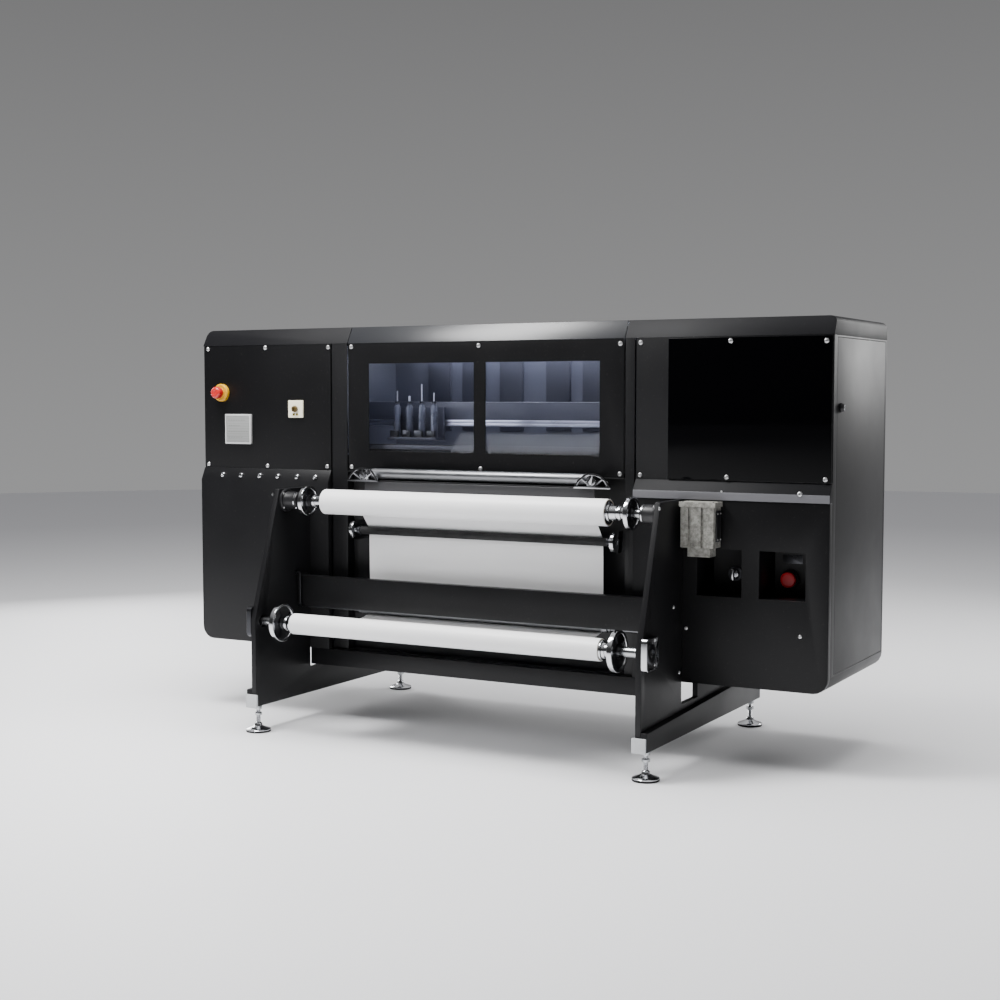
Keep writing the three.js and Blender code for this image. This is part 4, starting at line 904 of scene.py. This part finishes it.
def takeupHousings():
    for side, tag, node in ((1, "Right", "takeup_housing_right"), (-1, "Left", "takeup_housing_left")):
        low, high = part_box(node)
        middle = (low + high) / 2
        width, height = high.y - low.y, high.z - low.z
        inner, outer = (low.x, high.x) if side > 0 else (high.x, low.x)
        bearing = [(0, 15.1), (0, 33), (13, 33), (16, 30), (17, 26), (17, 15.1)]
        bore = turnedMesh("x", (inner, middle.y, middle.z), bearing, 56, True, side)
        newPiece("takeupBearing" + tag, bore, darkSteel, "steel", sharpAngle=30)
        def outlineIn(inset, corner):
            return roundedRect(width - inset * mm, height - inset * mm, corner * mm, 6, (middle.y, middle.z))

        def skinAt(outlines):
            bm = bmesh.new()
            addSkin(bm, [[(x, y, z) for y, z in outline] for outline, x in outlines], closed=True)
            return meshFrom(bm)

        face = outer - side * 8 * mm
        rim = skinAt(((outlineIn(0, 14), inner), (outlineIn(0, 14), outer - side * 1.5 * mm),
                      (outlineIn(3, 12.5), outer), (outlineIn(9, 10), outer),
                      (outlineIn(10, 9.5), face), (outlineIn(10, 9.5), inner)))
        # the left rim is blackened steel and the right one chrome: painted shade on the far housing
        newPiece("takeupHousingRim" + tag, rim, chromePlate if side > 0 else darkSteel, "chrome", [node])
        plate = outlineIn(10.6, 9)
        turns = [2 * math.pi * i / len(plate) for i in range(len(plate))]
        hole = [(middle.y + 33.2 * mm * math.cos(turn), middle.z + 33.2 * mm * math.sin(turn)) for turn in turns]
        cover = skinAt(((plate, inner), (plate, face), (hole, face), (hole, inner)))
        newPiece("takeupHousingPlate" + tag, cover, blackPlastic, "black_plastic")
        spots = [((face, middle.y + dy * mm, middle.z + dz * mm), (side, 0, 0)) for dy in (-31, 31) for dz in (-36, 36)]
        setHeads("takeupHousingScrews" + tag, spots, 4.2 * mm)


supplyBearings()
takeupHousings()


# idler, tension bar and guide roller

def rollerPieces():
    low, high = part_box("idler_roller")
    middle = (low + high) / 2
    radius, half = (high.z - low.z) / 2 / mm, 455
    end = (high.x - low.x) / 2 / mm
    tube = roundedProfile([(-half, 8.4), (-half, radius), (half, radius), (half, 8.4)], 1.0)
    newPiece("idlerTube", turnedMesh("x", middle, tube, 80, True), blackRubber, "rubber_black", ["idler_roller"],
             body="idler")
    for side, tag in ((1, "Right"), (-1, "Left")):
        cap = [(half + 0.4, 8), (half + 0.4, 14), (half + 1, 15), (half + 3, 15), (half + 5, 12.5), (half + 13, 12.5),
               (half + 14, 11), (half + 14, 8)]
        newPiece("idlerEndCap" + tag, turnedMesh("x", middle, cap, 56, True, side),
                 darkSteel, "steel", sharpAngle=30, body="idler")
    bar = [(-end, 0), (-end, 7), (-end + 1, 8), (end - 1, 8), (end, 7), (end, 0)]
    newPiece("idlerShaft", turnedMesh("x", middle, bar, 40), turnedSteel, "steel", body="idler")

    low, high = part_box("tension_bar")
    middle = (low + high) / 2
    end, half = (high.x - low.x) / 2 / mm, 455
    steps = [(half, 12), (half, 6), (half + 4, 6), (half + 4, 9.5), (half + 12, 9.5), (half + 12, 6), (end, 6),
             (end, 0)]
    rod = roundedProfile([(-along, radius) for along, radius in reversed(steps)] + steps, 0.6)
    newPiece("tensionBar", turnedMesh("x", middle, rod, 56), dullChrome, "steel", ["tension_bar"],
             body="tension_roller")

    low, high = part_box("guide_roller")
    middle = (low + high) / 2
    end, half, radius = (high.x - low.x) / 2 / mm, 398, 17
    steps = [(half, radius), (half, 11), (half + 2, 11), (half + 2, 6), (end, 6), (end, 0)]
    guide = roundedProfile([(-along, reach) for along, reach in reversed(steps)] + steps, 0.8)
    newPiece("guideRoller", turnedMesh("x", middle, guide, 72), dullChrome, "chrome", ["guide_roller"], body="guide")
    for node, title in (("arch_bracket_right", "archBracketRight"), ("arch_bracket_left", "archBracketLeft")):
        newPiece(title, softCopy(node, 1.2 * mm), chromePlate, "chrome", [node])


rollerPieces()
print("rollers ready")


# media web: one sheet of film drawn tight over the rolls

webLook = {"gap": 1.3, "thickness": 0.5, "steps": 14, "columns": 36}


def webPath(offset):
    # tangent to tangent: off the supply roll's top, behind the idler, under the tension bar, on to the take-up roll
    rolls = []
    for node, radius in (("supply_tube", None), ("idler_roller", 13 * mm), ("tension_bar", 12 * mm),
                         ("takeup_tube", None)):
        low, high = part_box(node)
        rolls.append(((low.y + high.y) / 2, (low.z + high.z) / 2, (radius or (high.z - low.z) / 2) + offset))
    turns = []
    for a, b in zip(rolls, rolls[1:]):
        reach = math.hypot(b[0] - a[0], b[1] - a[1])
        turns.append(math.atan2(b[1] - a[1], b[0] - a[0]) + math.pi / 2 - math.asin((a[2] - b[2]) / reach))
    touch = lambda roll, angle: (roll[0] + roll[2] * math.cos(angle), roll[1] + roll[2] * math.sin(angle))
    path = [touch(rolls[0], turns[0])]
    for i in range(1, len(rolls) - 1):
        start, end = turns[i - 1], turns[i]
        while end > start:
            end -= 2 * math.pi
        path += [touch(rolls[i], start + (end - start) * k / webLook["steps"]) for k in range(webLook["steps"] + 1)]
    path.append(touch(rolls[-1], turns[-1]))
    return path


def mediaWeb():
    low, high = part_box("media_web")
    half = webLook["thickness"] / 2 * mm
    outer, inner = webPath(webLook["gap"] * mm + half), webPath(webLook["gap"] * mm - half)
    columns = webLook["columns"]
    bm = bmesh.new()
    sheets = []
    for path in (outer, inner):
        sheets.append([[bm.verts.new((low.x + (high.x - low.x) * c / columns, y, z)) for c in range(columns + 1)]
                       for y, z in path])
    for grid in sheets:
        for first, second in zip(grid, grid[1:]):
            for c in range(columns):
                bm.faces.new([first[c], first[c + 1], second[c + 1], second[c]])
    top, under = sheets
    for first, second in zip(range(len(top) - 1), range(1, len(top))):
        for c in (0, columns):
            bm.faces.new([top[first][c], top[second][c], under[second][c], under[first][c]])
    for row in (0, -1):
        for c in range(columns):
            bm.faces.new([top[row][c], top[row][c + 1], under[row][c + 1], under[row][c]])
    bmesh.ops.recalc_face_normals(bm, faces=bm.faces)
    web = newPiece("mediaWeb", meshFrom(bm), mediaWhite, "media_white", ["media_web"], 50)


mediaWeb()


# feed motor on the right leg's outer side

def feedMotor():
    low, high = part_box("feed_motor")
    newPiece("feedMotorCasting", softCopy("feed_motor", 1.6 * mm, 3), castGrey, "cast_grey", ["feed_motor"])
    side = high.x - 6 * mm
    bodyTop = high.z - 14 * mm
    # connector block and gland on the right flank, with its cover plate
    blocks = [((side, low.y + 20 * mm, low.z + 45 * mm), (side + 5 * mm, high.y - 8 * mm, bodyTop - 12 * mm))]
    newPiece("feedMotorCover", blockMesh(blocks, 1.2 * mm), blackPlastic, "black_plastic")
    spots = [((side + 5 * mm, y, z), toRight) for y in (low.y + 26 * mm, high.y - 14 * mm)
             for z in (low.z + 52 * mm, bodyTop - 20 * mm)]
    setHeads("feedMotorCoverScrews", spots, 2.6 * mm)
    flange = [((low.x + dx * mm, low.y + dy * mm, high.z), (0, 0, 1)) for dx in (9, 105) for dy in (10, 52)]
    setHeads("feedMotorFlangeScrews", flange, 3.4 * mm, {**screwLook, "dome": 0.3}, darkSteel, "steel")


feedMotor()


# door latch, ledge knobs and ledge screws

def doorLatch():
    middle, low, high = centreOf("door_latch")
    reach = (high.x - low.x) / mm
    knob = [(0, 0), (0, 13.5), (1, 14), (6, 14), (7.5, 12.6), (reach - 2, 11.4), (reach - 0.6, 10), (reach - 0.6, 8.6),
            (reach - 1.6, 7.8), (reach - 1.6, 0)]
    newPiece("doorLatchKnob", turnedMesh("x", (low.x, middle.y, middle.z), knob, 48),
             blackPlastic, "black_plastic", ["door_latch"], 30, body="door_latch")
    core = [(reach - 1.55, 0), (reach - 1.55, 7), (reach - 0.9, 7.2), (reach - 0.3, 6.4), (reach - 0.3, 0)]
    newPiece("doorLatchCore", turnedMesh("x", (low.x, middle.y, middle.z), core, 40), chromePlate, "chrome",
             sharpAngle=30, body="door_latch")
    slot = blockMesh([((low.x + (reach - 0.35) * mm, middle.y - 4.5 * mm, middle.z - 0.9 * mm),
                       (low.x + (reach - 0.15) * mm, middle.y + 4.5 * mm, middle.z + 0.9 * mm))], 0)
    newPiece("doorLatchSlot", slot, blackPlastic, "black_plastic", body="door_latch")


doorLatch()
knobLook = {"across": (-1065, -984, -902, -824, -742, -665), "inset": 8.3, "up": 831, "facing": (0, -0.909, 0.417)}
knobSpots = [((x * mm, lowerFace + knobLook["inset"] * mm, knobLook["up"] * mm), knobLook["facing"])
             for x in knobLook["across"]]
setHeads("ledgeKnobs", knobSpots, 9.5 * mm, {"rim": 0.5, "dome": 0.35, "socket": 0.4, "floor": 0.5}, chromePlate)
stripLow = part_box("ledge_strip")[0]
for title, across, radius in (("ledgeStripScrews", 1053, 8), ("ledgeStripPin", 813, 3.4)):
    setHeads(title, [((across * mm, stripLow.y + 2.2 * mm, 0.8255), (0, -0.96, 0.28))], radius * mm)

backLow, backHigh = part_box("back_panel")
toBack = (0, 1, 0)
backSpots = [((x, backHigh.y, z), toBack) for z in (backLow.z + 0.06, backHigh.z - 0.03)
             for x in (-1.09, -0.55, -0.007, 0.54, 1.076)]
backSpots += [((x, backHigh.y, 0.76), toBack) for x in (backLow.x + 0.022, backHigh.x - 0.022)]
setHeads("backPanelScrews", backSpots, 6 * mm)


def webSensor():
    # bent rod with a sensor head, on the left leg beside the cross beam
    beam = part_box("cross_beam")[0]
    x, y = beam.x + 16 * mm, beam.y - 7 * mm
    rod = sweptTube([(beam.x + 1 * mm, y, beam.z + 118 * mm), (x - 4 * mm, y, beam.z + 118 * mm),
                     (x, y, beam.z + 114 * mm), (x, y, beam.z + 6 * mm)], 3.2 * mm, 16)
    newPiece("webSensorRod", rod, darkSteel, "steel", sharpAngle=30)
    head = ((x - 7 * mm, y - 6 * mm, beam.z + 1 * mm), (x + 9 * mm, y + 6 * mm, beam.z + 13 * mm))
    clamp = ((beam.x + 0.4 * mm, y - 8 * mm, beam.z + 110 * mm), (beam.x + 6 * mm, y + 8 * mm, beam.z + 126 * mm))
    ends = blockMesh([head, clamp], 1.5 * mm)
    newPiece("webSensorEnds", ends, darkSteel, "steel")


def backFittings():
    # two louvred vents and an inlet plate with a rocker switch
    low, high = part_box("back_panel")
    y = high.y + 0.2 * mm
    louvres, frames = [], []
    for x in (-0.79, 0.39):
        for k in range(12):
            z = 0.40 + 0.022 * k
            section = [(y, z), (y + 5 * mm, z), (y + 5 * mm, z + 1.5 * mm), (y, z + 13 * mm)]
            louvres.append(prismMesh("x", section, x, x + 0.36, 0.4 * mm))
        frames.append(((x - 14 * mm, y, 0.384), (x - 2 * mm, y + 2 * mm, 0.672)))
        frames.append(((x + 0.362, y, 0.384), (x + 0.374, y + 2 * mm, 0.672)))
    newPiece("backLouvres", joined(louvres), satinBlack, "dark_sheet")
    newPiece("backLouvreFrames", blockMesh(frames, 0.6 * mm), satinBlack, "dark_sheet")
    inlet = [((-0.98, y, 0.36), (-0.90, y + 2 * mm, 0.48)),
             ((-0.965, y + 2.1 * mm, 0.375), (-0.915, y + 5 * mm, 0.415)),
             ((-0.955, y + 2.1 * mm, 0.435), (-0.925, y + 6 * mm, 0.465))]
    newPiece("backInletPlate", blockMesh(inlet, 1 * mm), blackPlastic, "black_plastic")


webSensor()
backFittings()
print("trim ready")


# inside the print bay

bayLook = {"ledLow": 1.2565, "ledHigh": 1.2640, "ribWidth": 0.085, "ribDepth": 0.008}
# the bay grey made darker: painted shade on the gantry beam, the back ribs and the platen lip; the carriage plates take
# it too
darkBayGreyPaintedShade = powderCoat("darkBayGreyPaintedShadePaint", {"deep": "#44464f", "light": "#50525c", "rough": 0.45})
railAluminium = metalFinish("extrudedRailAluminium", {"deep": "#c3c5d3", "light": "#dcdeea", "rough": 0.34,
                                                     "stretch": (0.02, 1, 1), "scale": 900, "bump": 0.05})
bottlePlastic = mouldedPlastic("smokedInkBottle", {"deep": "#4c4f59", "light": "#5c5f6b", "rough": 0.3})
hosePlastic = mouldedPlastic("milkyInkHose", {"deep": "#c5c8d0", "light": "#dadde4", "rough": 0.35})
capPlastic = mouldedPlastic("greyBottleCap", {"deep": "#2c2d31", "light": "#3a3b40", "rough": 0.4})


def printBay():
    low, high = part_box("print_bay")
    wall = 3 * mm
    left, right, back = low.x + wall, high.x - wall, high.y - wall
    strips = [((left + 0.12, low.y + 0.014, bayLook["ledLow"]), (right - 0.15, low.y + 0.026, bayLook["ledHigh"])),
              ((left + 0.12, back - 0.03, bayLook["ledLow"]), (right - 0.09, back - 0.018, bayLook["ledHigh"]))]
    newPiece("bayLedStrips", blockMesh(strips, 1 * mm), ledGlow, "clear_pane")
    ribs = []
    for x in (-0.46, -0.33, -0.19, -0.02, 0.11, 0.24, 0.36):
        ribs.append(((x, back - bayLook["ribDepth"], low.z + 0.09),
                     (x + bayLook["ribWidth"], back - 0.2 * mm, high.z - 0.03)))
    # the ribs take the darker grey as painted shade
    newPiece("bayBackRibs", blockMesh(ribs, 2 * mm), darkBayGreyPaintedShade, "liner")
    # gantry: beam in the darker bay grey, as painted shade, behind a bright guide rail
    beamLow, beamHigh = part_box("gantry_beam")
    beam = blockMesh([((beamLow.x, beamLow.y + 12 * mm, beamLow.z), (beamHigh.x, beamHigh.y, beamHigh.z))], 2 * mm)
    newPiece("gantryBeam", beam, darkBayGreyPaintedShade, "aluminium", ["gantry_beam"])
    section = [(beamLow.y + deep * mm, beamLow.z + up * mm) for deep, up in
               ((0, 1), (12.4, 0), (12.4, 20), (0, 19), (0, 13), (2.5, 11.5), (2.5, 8.5), (0, 7))]
    newPiece("gantryRail", prismMesh("x", section, beamLow.x, beamHigh.x, 0.5 * mm), railAluminium, "aluminium")
    tableLow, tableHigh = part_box("platen")
    lip = blockMesh([((tableLow.x + 0.06, tableLow.y - 2 * mm, tableHigh.z - 16 * mm),
                      (tableHigh.x - 0.06, tableLow.y + 0.5 * mm, tableHigh.z - 3 * mm))], 0.8 * mm)
    # the lip takes the darker grey as painted shade under the rail
    newPiece("platenFrontLip", lip, darkBayGreyPaintedShade, "aluminium")
    # foam seal round the window, between the panel and the bay
    panelLow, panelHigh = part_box("window_panel")
    inner, outer = panelHigh.y + 0.3 * mm, low.y - 0.2 * mm
    near, far = panelLow.x + 3 * mm, panelHigh.x - 3 * mm
    seal = [((near, inner, panelLow.z + 15 * mm), (near + 12 * mm, outer, panelHigh.z - 12 * mm)),
            ((far - 12 * mm, inner, panelLow.z + 15 * mm), (far + 5 * mm, outer, panelHigh.z - 12 * mm)),
            ((near + 12.2 * mm, inner, panelHigh.z - 24 * mm), (far - 12.2 * mm, outer, panelHigh.z - 12 * mm))]
    newPiece("windowSeal", blockMesh(seal, 1 * mm), blackRubber, "rubber_black")
    # pipe fittings on the right wall of the bay, seen at the window's edge
    column = []
    for z, size in ((1.035, 11), (1.055, 8), (1.072, 12), (1.10, 6), (1.125, 9), (1.15, 6)):
        column.append(turnedMesh("z", (0.412, 0.02, z),
                                 roundedProfile([(0, 0), (0, size * 0.7), (size, size * 0.7), (size, 0)], 1), 24))
    column.append(sweptTube([(0.412, 0.02, z) for z in (1.0, 1.08, 1.2)], 2.2 * mm, 12))
    newPiece("bayPipeFittings", joined(column), turnedSteel, "steel", sharpAngle=30)


def carriage():
    low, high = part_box("print_carriage")
    plate = 8 * mm
    base = [((low.x, low.y, low.z), (high.x, high.y, low.z + plate)),
            ((low.x, high.y - plate, low.z + plate + 0.2 * mm), (high.x, high.y, low.z + 106 * mm))]
    newPiece("carriagePlates", blockMesh(base, 1.4 * mm), darkBayGreyPaintedShade, "steel", ["print_carriage"], body="carriage")
    bottles, caps, heads = [], [], []
    for i in range(4):
        x = low.x + (high.x - low.x) * (i + 0.5) / 4
        foot = (x, high.y - 34 * mm, low.z + plate + 0.2 * mm)
        body = [(0, 0), (0, 11), (1, 12), (96, 12), (101, 9.5), (104, 7), (109, 7), (109, 0)]
        bottles.append(turnedMesh("z", foot, body, 32))
        lid = [(109.2, 0), (109.2, 7.2), (110, 8), (116, 8), (117, 7.4), (117, 0)]
        caps.append(turnedMesh("z", foot, lid, 28))
        heads.append(((x - 15 * mm, low.y + 5 * mm, low.z + plate + 0.2 * mm),
                      (x + 15 * mm, low.y + 16 * mm, low.z + 30 * mm)))
    newPiece("carriageBottles", joined(bottles), bottlePlastic, "cap_white", sharpAngle=30, body="carriage")
    newPiece("carriageBottleCaps", joined(caps), capPlastic, "black_plastic", sharpAngle=30, body="carriage")
    hoses = []
    for across, rise, size in ((166, 40, 2), (119, 24, 3.5), (71, 62, 2), (24, 34, 2.5)):
        path = [(high.x - across * mm, high.y - 34 * mm, low.z + (118 + rise * k / 8) * mm) for k in range(9)]
        hoses.append(sweptTube(path, size * mm, 12))
    newPiece("carriageHoses", joined(hoses), hosePlastic, "cap_white", sharpAngle=30, body="carriage")
    newPiece("carriageHeadBlocks", blockMesh(heads, 1.2 * mm), darkSteel, "steel", body="carriage")


printBay()
carriage()
print("print bay ready")


# stage, light and camera

def paleFloor():
    # matt studio floor with a painted pool of light: pale round the machine and greyer far away
    finish, tree, shader, place = newFinish("paleStudioFloor")
    away = addNode(tree, "ShaderNodeVectorMath", {0: place}, operation="LENGTH")
    paintedLightFalloff = addNode(tree, "ShaderNodeMapRange", {"Value": away.outputs["Value"], "From Min": 2.2, "From Max": 9.0})
    tone = addNode(tree, "ShaderNodeMix", {0: paintedLightFalloff, 6: hexColour("#eaeaec"),
                                           7: hexColour("#c4c4c8")}, data_type="RGBA")
    setInputs(shader, {"Base Color": tone.outputs[2], "Roughness": 0.6})
    floorMesh = turnedMesh("z", (0, 0, 0), [(-20, 0), (-20, 14000), (-0.5, 14000), (-0.5, 0)], 96)
    floorMesh.materials.append(finish)
    floor = bpy.data.objects.new("studioFloor", floorMesh)
    bpy.context.scene.collection.objects.link(floor)


def softLight(name, place, aim, size, power, mirrored):
    lamp = bpy.data.lights.new(name, "AREA")
    lamp.shape = "RECTANGLE"
    lamp.size, lamp.size_y = size
    lamp.energy = power
    holder = bpy.data.objects.new(name, lamp)
    holder.location = place
    holder.rotation_euler = (Vector(aim) - Vector(place)).to_track_quat("-Z", "Y").to_euler()
    holder.visible_camera = False
    holder.visible_glossy = mirrored
    bpy.context.scene.collection.objects.link(holder)


def studioWorld():
    # dark room in front of the machine, grey behind it, a pale ceiling; the camera itself sees an even grey wall
    world = bpy.data.worlds.new("studio")
    world.use_nodes = True
    bpy.context.scene.world = world
    tree = world.node_tree
    background = tree.nodes["Background"]
    place = addNode(tree, "ShaderNodeTexCoord").outputs["Generated"]
    parts = addNode(tree, "ShaderNodeSeparateXYZ", {"Vector": place})
    behind = addNode(tree, "ShaderNodeMapRange", {"Value": parts.outputs["Y"], "From Min": -0.25, "From Max": 0.75,
                                                  "To Min": 0.05, "To Max": 0.34})
    above = addNode(tree, "ShaderNodeMapRange", {"Value": parts.outputs["Z"], "From Min": 0.35, "From Max": 0.95,
                                                 "To Min": 0.0, "To Max": 0.55})
    room = addNode(tree, "ShaderNodeMath", {0: behind, 1: above}, operation="ADD")
    wall = addNode(tree, "ShaderNodeMapRange", {"Value": parts.outputs["Z"], "From Min": -0.05, "From Max": 0.34,
                                                "To Min": 0.33, "To Max": 0.15})
    seen = addNode(tree, "ShaderNodeLightPath").outputs["Is Camera Ray"]
    level = addNode(tree, "ShaderNodeMix", {0: seen, 2: room, 3: wall})
    setInputs(background, {"Strength": level, "Color": (0.99, 0.99, 1.0, 1.0)})


paleFloor()
studioWorld()
studioLights = {
    # name: (place, aim, size in metres, watts, seen in reflections)
    "overheadSoftbox": ((-0.97, -1.25, 3.3), (0, -0.1, 0.8), (0.95, 1.3), 130, True),
    "ceilingPanel": ((0.3, -0.2, 4.2), (0, 0, 0), (3.2, 2.6), 250, False),
    "frontFill": ((-3.4, -4.2, 2.6), (0, 0, 0.6), (2.4, 1.6), 150, False),
    "rearRight": ((2.3, 3.6, 2.05), (1.1, 0.1, 0.9), (1.3, 1.5), 52, True),
    "rearLeft": ((-3.4, 1.6, 1.6), (-1.1, 0, 0.8), (1.2, 1.8), 70, True),
}
for name, settings in studioLights.items():
    softLight(name, *settings)

view = {"place": (2.4844, -4.5604, 1.1079), "down": 3.77, "left": 28.86, "lens": 56.54, "sensor": 36}
camera = bpy.data.objects.new("camera", bpy.data.cameras.new("camera"))
bpy.context.scene.collection.objects.link(camera)
camera.data.lens = view["lens"]
camera.data.sensor_width = view["sensor"]
camera.data.clip_end = 60
camera.location = view["place"]
camera.rotation_euler = (math.radians(90 - view["down"]), 0, math.radians(view["left"]))
bpy.context.scene.camera = camera

print("stage ready")
